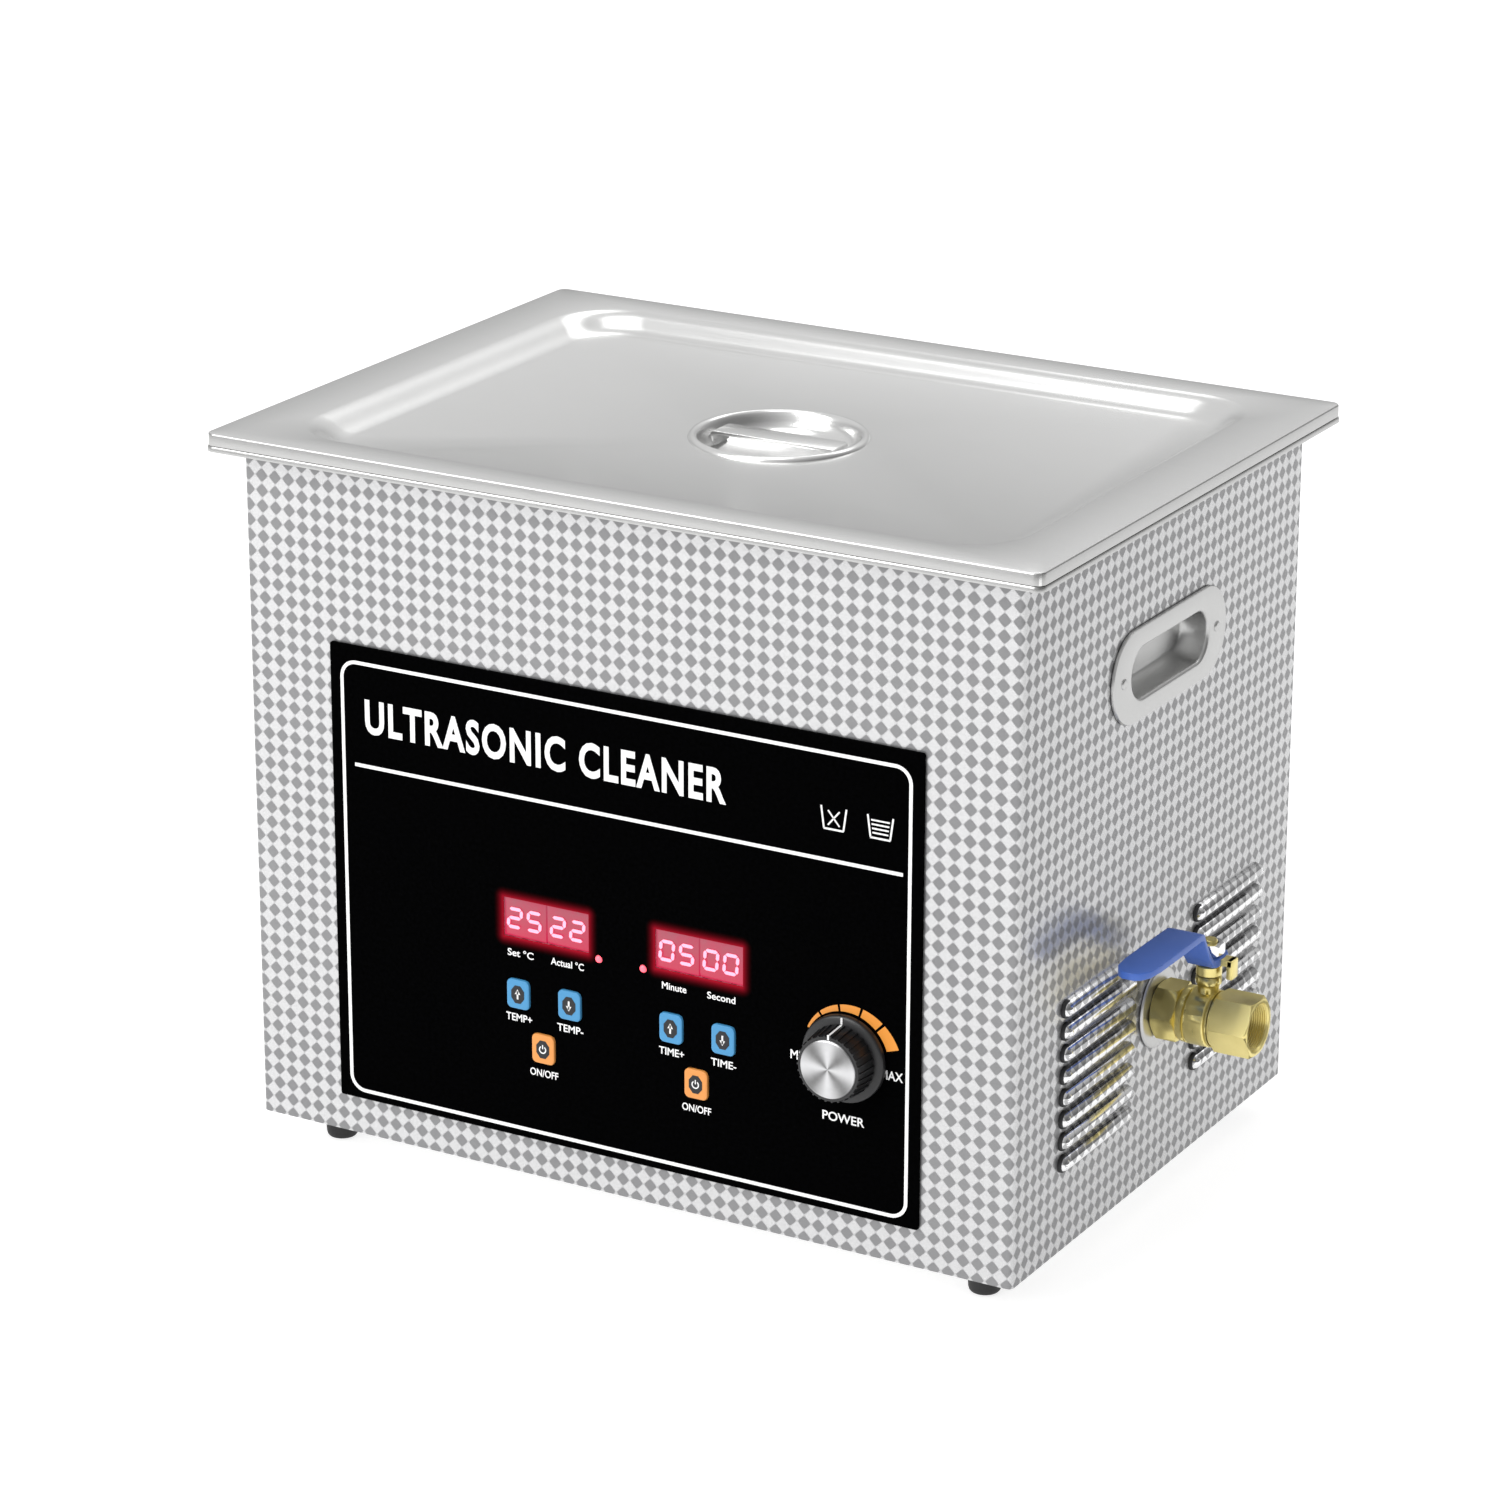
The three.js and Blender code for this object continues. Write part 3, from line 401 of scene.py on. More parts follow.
def makeCheckSteel():
    look = checkSteelLook
    nodes = Nodes("checkSteel")
    diamond = makeDiamonds(nodes)
    cloud = nodes.noise(9.0, 3.0)
    grain = nodes.noise(900.0, 2.0)
    light = nodes.blend(nodes.ramp(grain, 0.0, 1.0), *look["light"])
    dark = nodes.blend(nodes.ramp(cloud, 0.0, 1.0), *look["dark"])
    rough = nodes.math("ADD", nodes.ramp(diamond, look["lightRough"], look["darkRough"], 0.0, 1.0),
                       nodes.ramp(cloud, -0.03, 0.03))
    nodes.bump(nodes.math("MULTIPLY", diamond, -1.0), 0.35, look["relief"])
    return nodes.set(color=nodes.blend(diamond, light, dark), metallic=0.55, roughness=rough)


# paler light and dark than the casing's pattern: a painted highlight on the bars
louvreSteelLook = {"light": rgb(0.86, 0.86, 0.865), "dark": rgb(0.42, 0.42, 0.425), "rough": (0.12, 0.2)}


# the casing's pattern again on the pressed bars, smoother and more metallic, and in paler colours than the casing's as
# a painted highlight
def makeLouvreSteel():
    look = louvreSteelLook
    nodes = Nodes("louvreSteel")
    diamond = makeDiamonds(nodes)
    cloud = nodes.noise(200.0, 3.0)
    nodes.bump(cloud, 0.1, 0.00003)
    return nodes.set(color=nodes.blend(diamond, look["light"], look["dark"]), metallic=0.9,
                     roughness=nodes.ramp(cloud, *look["rough"]))


# brushed steel, its grain fine along the axes with the large numbers
def makeSatinSteel(name, color, grain, roughness):
    nodes = Nodes(name)
    streaks = nodes.noise(60.0, 5.0, 0.6, grain)
    cloud = nodes.noise(7.0, 2.0)
    rough = nodes.math("ADD", nodes.ramp(streaks, roughness - 0.02, roughness + 0.02),
                       nodes.ramp(cloud, -0.02, 0.02))
    tint = nodes.add("ShaderNodeMix", data_type="RGBA", blend_type="MULTIPLY")
    nodes.feed(tint, {0: 1.0, 6: color, 7: nodes.ramp(streaks, 0.97, 1.0)})
    nodes.bump(streaks, 0.04, 0.00001)
    return nodes.set(color=tint.outputs[2], metallic=1.0, roughness=rough)


def makePlain(name, color, roughness, metallic=0.0, speckle=0.12, grainScale=400.0, relief=0.00003):
    nodes = Nodes(name)
    grain = nodes.noise(grainScale, 3.0)
    cloud = nodes.noise(25.0, 3.0)
    darker = tuple(channel * (1 - speckle) for channel in color[:3]) + (1.0,)
    nodes.bump(grain, 0.3, relief)
    rough = nodes.ramp(cloud, roughness * 0.88, roughness * 1.12)
    return nodes.set(color=nodes.blend(nodes.ramp(cloud, 0.0, 1.0), color, darker), metallic=metallic,
                     roughness=rough)


brassLook = {"bright": rgb(0.84, 0.72, 0.30), "deep": rgb(0.68, 0.57, 0.21), "rough": 0.32}


def makeBrass():
    look = brassLook
    nodes = Nodes("brass")
    toolMarks = nodes.noise(30.0, 4.0, 0.6, (30.0, 1.0, 1.0))
    cloud = nodes.noise(60.0, 3.0)
    nodes.bump(toolMarks, 0.03, 0.00003)
    return nodes.set(color=nodes.blend(nodes.ramp(cloud, 0.0, 1.0), look["bright"], look["deep"]), metallic=1.0,
                     roughness=nodes.ramp(toolMarks, look["rough"] - 0.05, look["rough"] + 0.08))


# the painted red glow that the film gives off round the displays
paintedPanelGlow = {"color": rgb(0.55, 0.01, 0.03), "reach": 5.0, "strength": 0.9}
displays = {"width": 18.4, "height": 15.3, "bottom": 96.5, "columns": (-51.1, -32.1, 15.3, 34.2),
            "digits": ("25", "22", "05", "00")}
knobCentre = {"x": 96.5, "z": 78}


# the left ends of the two pairs of displays
def pairLefts():
    return displays["columns"][0], displays["columns"][2]


# the black film, with a painted red glow of the displays' light round each pair of them
def makePanel():
    nodes = Nodes("panelFilm")
    x, _, z = nodes.axes()

    def beyond(value, centre, reach):
        away = nodes.math("ABSOLUTE", nodes.math("SUBTRACT", value, centre))
        return nodes.math("MAXIMUM", nodes.math("SUBTRACT", away, reach), 0.0)

    glow = None
    for left in pairLefts():
        centre = at(left + displays["width"] + 0.3, 0, displays["bottom"] + displays["height"] / 2)
        dx = beyond(x, centre.x, displays["width"] * mm)
        dz = beyond(z, centre.z, displays["height"] / 2 * mm)
        paintedHalo = nodes.math("POWER", nodes.ramp(nodes.length(dx, dz), 1.0, 0.0, 0.0, paintedPanelGlow["reach"] * mm), 3.0)
        glow = paintedHalo if glow is None else nodes.math("MAXIMUM", glow, paintedHalo)
    grain = nodes.noise(700.0, 2.0)
    nodes.bump(grain, 0.1, 0.00001)
    tone = nodes.blend(nodes.ramp(grain, 0.0, 1.0), rgb(0.0006, 0.0006, 0.0006), rgb(0.0012, 0.0012, 0.0014))
    # painted light: the film itself glows red round each pair of displays
    light = nodes.blend(glow, rgb(0, 0, 0), paintedPanelGlow["color"])
    return nodes.set(color=tone, roughness=nodes.ramp(grain, 0.16, 0.22), specular=0.02, ior=1.1, glow=light,
                     glowStrength=paintedPanelGlow["strength"])


def makeDisplay():
    nodes = Nodes("displayWindow")
    z = nodes.axes()[2]
    low = at(0, 0, displays["bottom"]).z
    rise = nodes.ramp(z, 0.0, 1.0, low, low + displays["height"] * mm)
    fine = nodes.noise(300.0, 2.0)
    body = nodes.blend(rise, rgb(0.60, 0.018, 0.07), rgb(0.36, 0.085, 0.12))
    glow = nodes.blend(nodes.ramp(fine, 0.0, 0.5), body, rgb(0.56, 0.02, 0.08))
    return nodes.set(color=rgb(0.06, 0.01, 0.015), roughness=0.25, glow=glow, glowStrength=1.0)


def makeLit(name, color, strength):
    nodes = Nodes(name)
    fine = nodes.noise(500.0, 2.0)
    pale = tuple(channel * 0.9 for channel in color[:3]) + (1.0,)
    return nodes.set(color=color, roughness=0.4, glow=nodes.blend(nodes.ramp(fine, 0.0, 1.0), color, pale),
                     glowStrength=strength)


# the dark and bright ends of the cap's painted highlight, and how many fans it has
capLook = {"rings": 10400.0, "highlightLobes": 4.0, "dark": rgb(0.20, 0.20, 0.20), "bright": rgb(0.66, 0.66, 0.67)}


# fine turned rings as a bump, with a painted highlight: fans of light and dark laid into the colour by angle round the
# cap
def makeSpunCap():
    nodes = Nodes("spunCap")
    centre = at(knobCentre["x"], 0, knobCentre["z"])
    x, _, z = nodes.axes()
    dx, dz = nodes.math("SUBTRACT", x, centre.x), nodes.math("SUBTRACT", z, centre.z)
    highlightLobes = nodes.math("COSINE", nodes.math("MULTIPLY", nodes.math("ARCTAN2", dz, dx), capLook["highlightLobes"]))
    wobble = nodes.noise(300.0, 2.0)
    rings = nodes.math("SINE", nodes.math("MULTIPLY", nodes.length(dx, dz), capLook["rings"]))
    paintedSheen = nodes.math("ADD", nodes.math("MULTIPLY", highlightLobes, 0.5), nodes.math("MULTIPLY", wobble, 0.3))
    nodes.bump(rings, 0.25, 0.00002)
    # painted highlight and shade: the colour runs from dark to bright with the angle round the cap
    tone = nodes.blend(nodes.ramp(paintedSheen, 0.0, 1.0, -0.4, 0.7), capLook["dark"], capLook["bright"])
    return nodes.set(color=tone, metallic=1.0, roughness=0.34)


print("materials")
checkSteel = makeCheckSteel()
satinSteel = makeSatinSteel("satinSteel", rgb(0.52, 0.52, 0.515), (40.0, 1.0, 40.0), 0.36)
lidSteel = makeSatinSteel("lidSteel", rgb(0.80, 0.80, 0.795), (1.0, 30.0, 30.0), 0.22)
# a darker copy of the satin steel for the rim's upright faces: painted shade
shadedEdgeSteel = makeSatinSteel("shadedEdgeSteel", rgb(0.50, 0.50, 0.495), (1.0, 1.0, 40.0), 0.30)
louvreSteel = makeLouvreSteel()
# near-black steel for the rings round the louvre buttons: painted shade
paintedShadeSteel = makePlain("paintedShadeSteel", rgb(0.05, 0.05, 0.052), 0.5, 0.6, 0.3)
bathSteel = makeSatinSteel("bathSteel", rgb(0.62, 0.62, 0.61), (20.0, 20.0, 1.0), 0.24)
wireSteel = makePlain("wireSteel", rgb(0.66, 0.66, 0.67), 0.22, 1.0, 0.1)
chrome = makePlain("chrome", rgb(0.86, 0.86, 0.87), 0.07, 1.0, 0.05, relief=0.00001)
brass = makeBrass()
blueVinyl = makePlain("blueVinyl", rgb(0.055, 0.15, 0.56), 0.42, relief=0.00008, grainScale=250.0)
panelFilm = makePanel()
blackPlastic = makePlain("blackPlastic", rgb(0.012, 0.012, 0.013), 0.42, grainScale=900.0)
knobPlastic = makePlain("knobPlastic", rgb(0.011, 0.011, 0.012), 0.36, grainScale=700.0)
rubber = makePlain("footRubber", rgb(0.014, 0.014, 0.015), 0.62, speckle=0.3, grainScale=600.0, relief=0.0001)
whiteInk = makePlain("whiteInk", rgb(0.86, 0.86, 0.86), 0.45, speckle=0.04)
orangeInk = makePlain("orangeInk", rgb(0.80, 0.30, 0.04), 0.45, speckle=0.08)
keyBlue = makePlain("keyBlue", rgb(0.055, 0.27, 0.52), 0.38, speckle=0.1)
keyOrange = makePlain("keyOrange", rgb(0.74, 0.29, 0.065), 0.38, speckle=0.1)
keyBlack = makePlain("keyBlack", rgb(0.004, 0.005, 0.008), 0.35)
displayWindow = makeDisplay()
litDigit = makeLit("litDigit", rgb(1.0, 0.26, 0.36), 1.2)
litLamp = makeLit("litLamp", rgb(1.0, 0.10, 0.14), 1.6)
spunCap = makeSpunCap()
aluminium = makePlain("castAluminium", rgb(0.58, 0.59, 0.60), 0.4, 1.0, 0.15)
boardGreen = makePlain("boardGreen", rgb(0.012, 0.11, 0.04), 0.4, speckle=0.4, grainScale=120.0)
heaterPad = makePlain("heaterPad", rgb(0.50, 0.14, 0.04), 0.6, speckle=0.2)
sealWhite = makePlain("sealWhite", rgb(0.80, 0.79, 0.75), 0.45)
ferrite = makePlain("ferrite", rgb(0.03, 0.03, 0.032), 0.6, speckle=0.3)

nodeFinishes = {
    "patterned_steel": checkSteel, "brushed_steel": satinSteel, "lid_steel": lidSteel, "basket_steel": wireSteel,
    "rubber": rubber, "aluminium": aluminium, "heater_foil": heaterPad, "black_plastic": blackPlastic,
    "black_panel": panelFilm, "red_display": displayWindow, "circuit_board": boardGreen, "ferrite": ferrite,
    "chrome": chrome, "brass": brass, "seat_plastic": sealWhite, "knob_plastic": knobPlastic,
    "knob_aluminium": spunCap, "blue_vinyl": blueVinyl, "blue_key": keyBlue, "orange_key": keyOrange,
}
for subpart in frame["record"]["subparts"]:
    cadNode = frame["nodes"][subpart["node"]]
    cadNode.data.materials.clear()
    cadNode.data.materials.append(nodeFinishes[subpart["material_slot"]])


# ---- casing with its louvres ----
louvre = {"length": 59, "radius": 3.3, "proud": 3.6, "rows": 8, "pitch": 8.75, "top": 96.8, "banks": (-52.5, 59.5)}
handlePlate = {"length": 96, "width": 36, "slot": 65, "slotWidth": 19.5, "cup": 9.5, "proud": 1.2, "z": 210}
fan = {"x": -90, "z": 60, "screws": 35.7}
keyGrid = {"temp_up_key": (-44.6, 73.9), "temp_down_key": (-21.9, 73.9), "time_up_key": (22.4, 73.9),
           "time_down_key": (44.8, 73.9), "heat_power_key": (-33.7, 53.7), "timer_power_key": (33.2, 53.7)}
# round holes as (radius, x, y, z, face) and square ones as (width, depth, height, x, y, z)
roundHoles = ((37.5, fan["x"], halfDepth, fan["z"], "back"), (6.3, 62, halfDepth, 42, "back"),
              (9.6, halfWidth, 0, 70, "right"), (5.4, knobCentre["x"], -halfDepth, knobCentre["z"], "front"))
squareHoles = [(29.6, 10, 21.6, 100, halfDepth, 42), (19.6, 10, 13.6, 100, halfDepth, 86)]
squareHoles += [(38.1, 10, 16.1, left + 18.65, -halfDepth, displays["bottom"] + 7.65) for left in pairLefts()]
squareHoles += [(10.7, 10, 12.6, x, -halfDepth, z) for x, z in keyGrid.values()]


def louvrePlaces():
    for y in louvre["banks"]:
        for row in range(louvre["rows"]):
            yield y, louvre["top"] - row * louvre["pitch"]


def makeCasing():
    width, depth, wall = casingSize["width"], casingSize["depth"], casingSize["wall"]
    height = casingSize["height"] - 0.3
    shell = ringStack([
        (width - 2 * wall, depth - 2 * wall, 0.8, 0), (width, depth, 2, 0), (width, depth, 2, height),
        (width - 2 * wall, depth - 2 * wall, 0.8, height), (width - 2 * wall, depth - 2 * wall, 0.8, 0)],
        5, False, False)
    tidyNormals(shell)
    tools = []
    for side in (-1, 1):
        for y, z in louvrePlaces():
            tools.append(cuboid(4, louvre["length"] - 9, 4, side * halfWidth, y, z - 0.6))
        slot = (handlePlate["slot"] + 5, handlePlate["slotWidth"] + 5, 12.2)
        cup = ringStack([(*slot, -8), (*slot, 8)], 8)
        tools.append(put(cup, local(side * halfWidth, 0, handlePlate["z"]), "right"))
    for radius, x, y, z, face in roundHoles:
        tools.append(put(cylinder(radius, 10), local(x, y, z), face))
    tools += [cuboid(*hole) for hole in squareHoles]
    carve(shell, joinPieces(tools))
    smooth(shell, 30)
    stand(shell, 0, 0, 0)
    return handOver(shell, "casingShell", "housing", checkSteel, "patterned_steel", "outer_casing")


# half a ball-ended bar, hollow below
def makeLouvreHood():
    radius, length, proud = louvre["radius"], louvre["length"], louvre["proud"]
    freeHands()
    bpy.ops.mesh.primitive_uv_sphere_add(segments=20, ring_count=12, radius=radius * mm)
    hood = bpy.context.object
    editing(hood, "vert")
    bpy.ops.mesh.select_all(action="SELECT")
    bpy.ops.transform.rotate(value=math.pi / 2, orient_axis="X", center_override=(0, 0, 0))
    for side in (-1, 1):
        choose(hood, verts=lambda v: side * v.co.y > 1e-5)
        bpy.ops.transform.translate(value=(0, side * (length / 2 - radius) * mm, 0))
    bpy.ops.mesh.select_all(action="SELECT")
    bpy.ops.transform.resize(value=(proud / radius, 1, 1))
    bpy.ops.mesh.bisect(plane_co=(-0.0001, 0, 0), plane_no=(1, 0, 0), clear_inner=True)
    bpy.ops.mesh.select_all(action="SELECT")
    bpy.ops.mesh.bisect(plane_co=(0, 0, -0.0021), plane_no=(0, 0, 1), clear_inner=True)
    freeHands()
    modify(hood, "SOLIDIFY", thickness=0.0007, offset=-1)
    smooth(hood, 50)
    return hood


def makeLouvres():
    pattern = makeLouvreHood()
    for side, hand, spin in ((1, "Right", 0), (-1, "Left", math.pi)):
        copies = [stand(copyOf(pattern), side * halfWidth, y, z, "up", spin) for y, z in louvrePlaces()]
        handOver(joinPieces(copies), "louvres" + hand, "housing", louvreSteel, "patterned_steel")
    discard(pattern)
    makeLouvreEnds()


# the burnished button at each bar's front end, in a near-black ring of painted shade
def makeLouvreEnds():
    button = turnedPiece([(0, 0.2), (2.7, 0.2), (2.65, 1.3), (2.3, 2.3), (1.7, 3.0), (0.9, 3.45), (0, 3.58)], 24)
    # a flat near-black ring under each button, painting the shade round it
    paintedShadeRing = turnedPiece([(0, 0.1), (3.55, 0.1), (3.5, 1.0), (3.2, 1.5), (2.75, 1.6), (2.5, 1.3), (0, 1.3)], 24)
    front = 3.2 - louvre["length"] / 2
    for side, hand in ((1, "Right"), (-1, "Left")):
        for model, kind, finish in ((button, "Buttons", chrome), (paintedShadeRing, "PaintedShadeRings", paintedShadeSteel)):
            smooth(model, 50)
            copies = [stand(copyOf(model), side * halfWidth, y + front, z, hand.lower())
                      for y, z in louvrePlaces()]
            handOver(joinPieces(copies), "louvre" + kind + hand, "housing", finish, "patterned_steel")
    discard(button, paintedShadeRing)


footProfile = [(0, 0), (4.6, 0), (5.4, 0.3), (5.9, 0.9), (6.2, 2), (6.9, 12.6), (7, 13.2), (6.8, 13.7), (0, 13.7)]


def makeFeet():
    for name in ("front_left", "front_right", "rear_left", "rear_right"):
        low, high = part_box("foot_" + name)
        piece = turnedPiece(footProfile, 40)
        put(piece, Vector(((low.x + high.x) / 2, (low.y + high.y) / 2, low.z)))
        smooth(piece, 40)
        handOver(piece, "footRubber_" + name, "housing", rubber, "rubber", "foot_" + name)


print("casing")
makeCasing()
makeLouvres()
makeFeet()


# ---- tank, lid and basket ----
flange = {"overhangX": 11.3, "overhangY": 10, "thickness": 2, "radius": 4}
tankSize = {"width": 300, "depth": 212, "height": 160, "wall": 1.2, "radius": 25, "floorRadius": 8,
            "lip": 2.5, "drainX": 115}
flangeTop = casingSize["height"] + flange["thickness"]
flangeSize = (casingSize["width"] + 2 * flange["overhangX"], casingSize["depth"] + 2 * flange["overhangY"])
tankFloor = flangeTop - tankSize["height"]


# the sine and cosine of equal steps from nought to a right angle
def quarterTurn(steps):
    for step in range(steps + 1):
        angle = step * math.pi / 2 / steps
        yield math.sin(angle), math.cos(angle)


def makeTank():
    width, depth, wall, radius, bend = (tankSize[k] for k in ("width", "depth", "wall", "radius", "floorRadius"))
    lip = tankSize["lip"]

    def inside(by, z, tuck=0.0):
        return (width + 2 * by - 2 * tuck, depth + 2 * by - 2 * tuck, radius + by - tuck, z)

    under = tankFloor - wall
    top = casingSize["height"]
    rings = [inside(wall, under, bend), inside(wall, under + 0.3 * bend, 0.3 * bend), inside(wall, under + bend),
             inside(wall, top), (*flangeSize, flange["radius"], top), (*flangeSize, flange["radius"], top + 1.4),
             (flangeSize[0] - 0.6, flangeSize[1] - 0.6, flange["radius"] - 0.3, flangeTop)]
    for sine, cosine in quarterTurn(5):
        rings.append(inside(lip * (1 - sine), flangeTop - lip * (1 - cosine)))
    for sine, cosine in quarterTurn(6):
        rings.append(inside(0, tankFloor + bend * (1 - sine), bend * (1 - cosine)))
    tank = ringStack(rings, 10)
    carve(tank, cylinder(6.5, 20, tankSize["drainX"], 0, tankFloor))
    smooth(tank, 30)
    stand(tank, 0, 0, 0)
    handOver(tank, "tankPan", "housing", bathSteel, "brushed_steel", "tank")
    paintEdgeShade(tank, shadedEdgeSteel)


lidSize = {"rise": 5, "sheet": 1.2, "panWidth": 306, "panDepth": 224, "panRadius": 27, "panDrop": 7.5, "panRun": 13,
           "bowl": 35, "bead": 1.6, "bowlDrop": 11}
lidTop = flangeTop + lidSize["rise"]
panFloor = lidTop - lidSize["panDrop"]


def makeLid():
    sheet, drop, run = lidSize["sheet"], lidSize["panDrop"], lidSize["panRun"]
    outerX, outerY = (size - 0.6 for size in flangeSize)

    def rim(by, z):
        return (outerX + 2 * by, outerY + 2 * by, flange["radius"] + by, z)

    def pan(inset, z):
        return (lidSize["panWidth"] - 2 * inset, lidSize["panDepth"] - 2 * inset,
                lidSize["panRadius"] - 0.45 * inset, z)

    # how far the pan's wall has fallen at a share of its run

    def slope(share):
        return drop * (share - 0.55 * math.sin(turn * share) / turn)

    steps = [step / 12 for step in range(13)]
    rings = [pan(run * s, lidTop - sheet - slope(s)) for s in reversed(steps[::2])]
    rings += [rim(-sheet - 0.4, lidTop - sheet), rim(-sheet, lidTop - sheet - 0.5), rim(-sheet, flangeTop + 0.3),
              rim(0, flangeTop + 0.3)]
    rings += [rim(0, lidTop - 0.6), rim(-0.12, lidTop - 0.3), rim(-0.35, lidTop - 0.08), rim(-0.7, lidTop)]
    rings += [pan(run * s, lidTop - slope(s)) for s in steps]
    lid = ringStack(rings, 12)
    carve(lid, cylinder(lidSize["bowl"] - 2, 20, 0, 0, panFloor, 96))
    bowl = put(turnedPiece(bowlProfile(), 96), local(0, 0, panFloor))
    smooth(bowl, 40)
    smooth(lid, 30)
    lid = joinPieces([lid, bowl])
    stand(lid, 0, 0, 0)
    handOver(lid, "lidPressing", "lid", lidSteel, "lid_steel", "lid")
    paintEdgeShade(lid, shadedEdgeSteel)


# gives the upright outer faces of the rim a darker steel with upright grain, a painted shade on the sides
def paintEdgeShade(piece, finish):
    piece.data.materials.append(finish)
    limits = [size / 2 - 1.2 for size in flangeSize]
    editing(piece, "face")

    def isEdge(face):
        spot = (face.calc_center_median() - middle) / mm
        return abs(face.normal.z) < 0.9 and (abs(spot.x) > limits[0] or abs(spot.y) > limits[1])

    choose(piece, faces=isEdge)
    piece.active_material_index = 1
    bpy.ops.object.material_slot_assign()
    freeHands()


# the finger bowl with its raised bead
def bowlProfile():
    radius, bead, drop, sheet = (lidSize[k] for k in ("bowl", "bead", "bowlDrop", "sheet"))
    wall = [(radius, 0), (radius - 0.5, 0.5 * bead), (radius - 1.2, 0.9 * bead), (radius - 2.1, bead),
            (radius - 3.0, 0.85 * bead), (radius - 3.7, 0.3 * bead), (radius - 4.1, -0.6), (radius - 4.7, -2.2)]
    bowl = [(30.3 * math.cos(angle), -drop + (drop - 2.2) * (1 - math.sin(angle)))
            for angle in map(math.radians, (10, 22, 34, 46, 58, 70, 80))]
    inside = wall + bowl + [(0, -drop)]
    outside = [(0, -drop - sheet)] + [(r + 0.2, h - sheet) for r, h in reversed(bowl)]
    outside += [(radius - 3.6, -sheet), (radius, -sheet)]
    return outside + inside


# each end is bent down in steps of (outwards, up, tilt in degrees)
gripStrip = {"half": 28.6, "width": 12, "sheet": 1.4,
             "bends": ((1.3, -0.4, 25), (0.6, -1.1, 30), (-0.7, -2.4, 15), (-0.8, -1.4, 0))}


def makeGrip():
    half, width, sheet = gripStrip["half"], gripStrip["width"], gripStrip["sheet"]
    strip = cuboid(2 * (half - 3.2), width, sheet, 0, 0, 0.2 - sheet / 2)
    editing(strip, "face")
    for side in (-1, 1):
        choose(strip, faces=lambda f: side * f.normal.x > 0.9 and side * f.calc_center_median().x > 0.02)
        for dx, dz, tilt in gripStrip["bends"]:
            bpy.ops.mesh.extrude_region_move(TRANSFORM_OT_translate={"value": local(side * dx, 0, dz)})
            if tilt:
                mesh = bmesh.from_edit_mesh(strip.data)
                spot = next(f for f in mesh.faces if f.select).calc_center_median()
                bpy.ops.transform.rotate(value=side * math.radians(tilt), orient_axis="Y",
                                         center_override=tuple(spot))
    tidyNormals(strip)
    soften(strip, 0.45, 3, 40)
    smooth(strip, 40)
    stand(strip, 0, 0, panFloor)
    handOver(strip, "lidGripStrip", "lid", lidSteel, "lid_steel", "lid_handle")


basketSize = {"width": 276, "depth": 188, "height": 112, "clearance": 18, "cell": 6.5, "wire": 1.0, "inset": 1.4,
              "frameWire": 1.9, "lug": 84, "lugRise": 12}


def makeBasket():
    width, depth, height, cell, inset = (basketSize[k] for k in ("width", "depth", "height", "cell", "inset"))
    foot = tankFloor + basketSize["clearance"]
    sheets = []
    for across, along, x, y, z, face in (
            (width - 6, depth - 6, 0, 0, inset, "up"),
            (width - 6, height - 3, 0, inset - depth / 2, height / 2 + 1, "front"),
            (width - 6, height - 3, 0, depth / 2 - inset, height / 2 + 1, "front"),
            (depth - 6, height - 3, inset - width / 2, 0, height / 2 + 1, "right"),
            (depth - 6, height - 3, width / 2 - inset, 0, height / 2 + 1, "right")):
        freeHands()
        bpy.ops.mesh.primitive_grid_add(x_subdivisions=round(across / cell),
                                        y_subdivisions=round(along / cell), size=1)
        sheet = bpy.context.object
        sheet.scale = (across * mm, along * mm, 1)
        settle(sheet)
        sheets.append(put(sheet, local(x, y, z), face))
    mesh = joinPieces(sheets)
    modify(mesh, "WIREFRAME", thickness=basketSize["wire"] * mm, use_even_offset=False, use_boundary=True)
    smooth(mesh, 60)
    stand(mesh, 0, 0, foot)
    handOver(mesh, "basketMesh", "basket", wireSteel, "basket_steel", "basket", "basket_floor")
    wires = [wireLoop(width - 2, depth - 2, 5, z) for z in (height, 1.2, height / 2)]
    for sx in (-1, 1):
        for sy in (-1, 1):
            wires.append(cylinder(basketSize["frameWire"] / 2, height - 1, sx * (width / 2 - 2),
                                  sy * (depth / 2 - 2), height / 2, 12))
        bail = wireLoop(basketSize["lug"], 2 * basketSize["lugRise"], 8, 0)
        wires.append(put(bail, local(sx * (width / 2 - inset), 0, height - 2), "right"))
    wireFrame = joinPieces(wires)
    smooth(wireFrame, 60)
    stand(wireFrame, 0, 0, foot)
    handOver(wireFrame, "basketFrame", "basket", wireSteel, "basket_steel")


# a round wire bent to a rounded rectangle
def wireLoop(width, depth, radius, z):
    freeHands()
    bpy.ops.mesh.primitive_plane_add(size=1)
    loop = bpy.context.object
    bpy.ops.object.mode_set(mode="EDIT")
    selectMode("vert")
    bpy.ops.transform.resize(value=(width * mm, depth * mm, 1))
    bpy.ops.mesh.bevel(offset=radius * mm, segments=6, affect="VERTICES", clamp_overlap=False)
    bpy.ops.mesh.delete(type="ONLY_FACE")
    pick(loop)
    bpy.ops.object.convert(target="CURVE")
    loop = bpy.context.object
    loop.data.bevel_depth = basketSize["frameWire"] / 2 * mm
    loop.data.bevel_resolution = 3
    bpy.ops.object.convert(target="MESH")
    return put(bpy.context.object, local(0, 0, z))


print("tank, lid and basket")
makeTank()
makeLid()
makeGrip()
makeBasket()


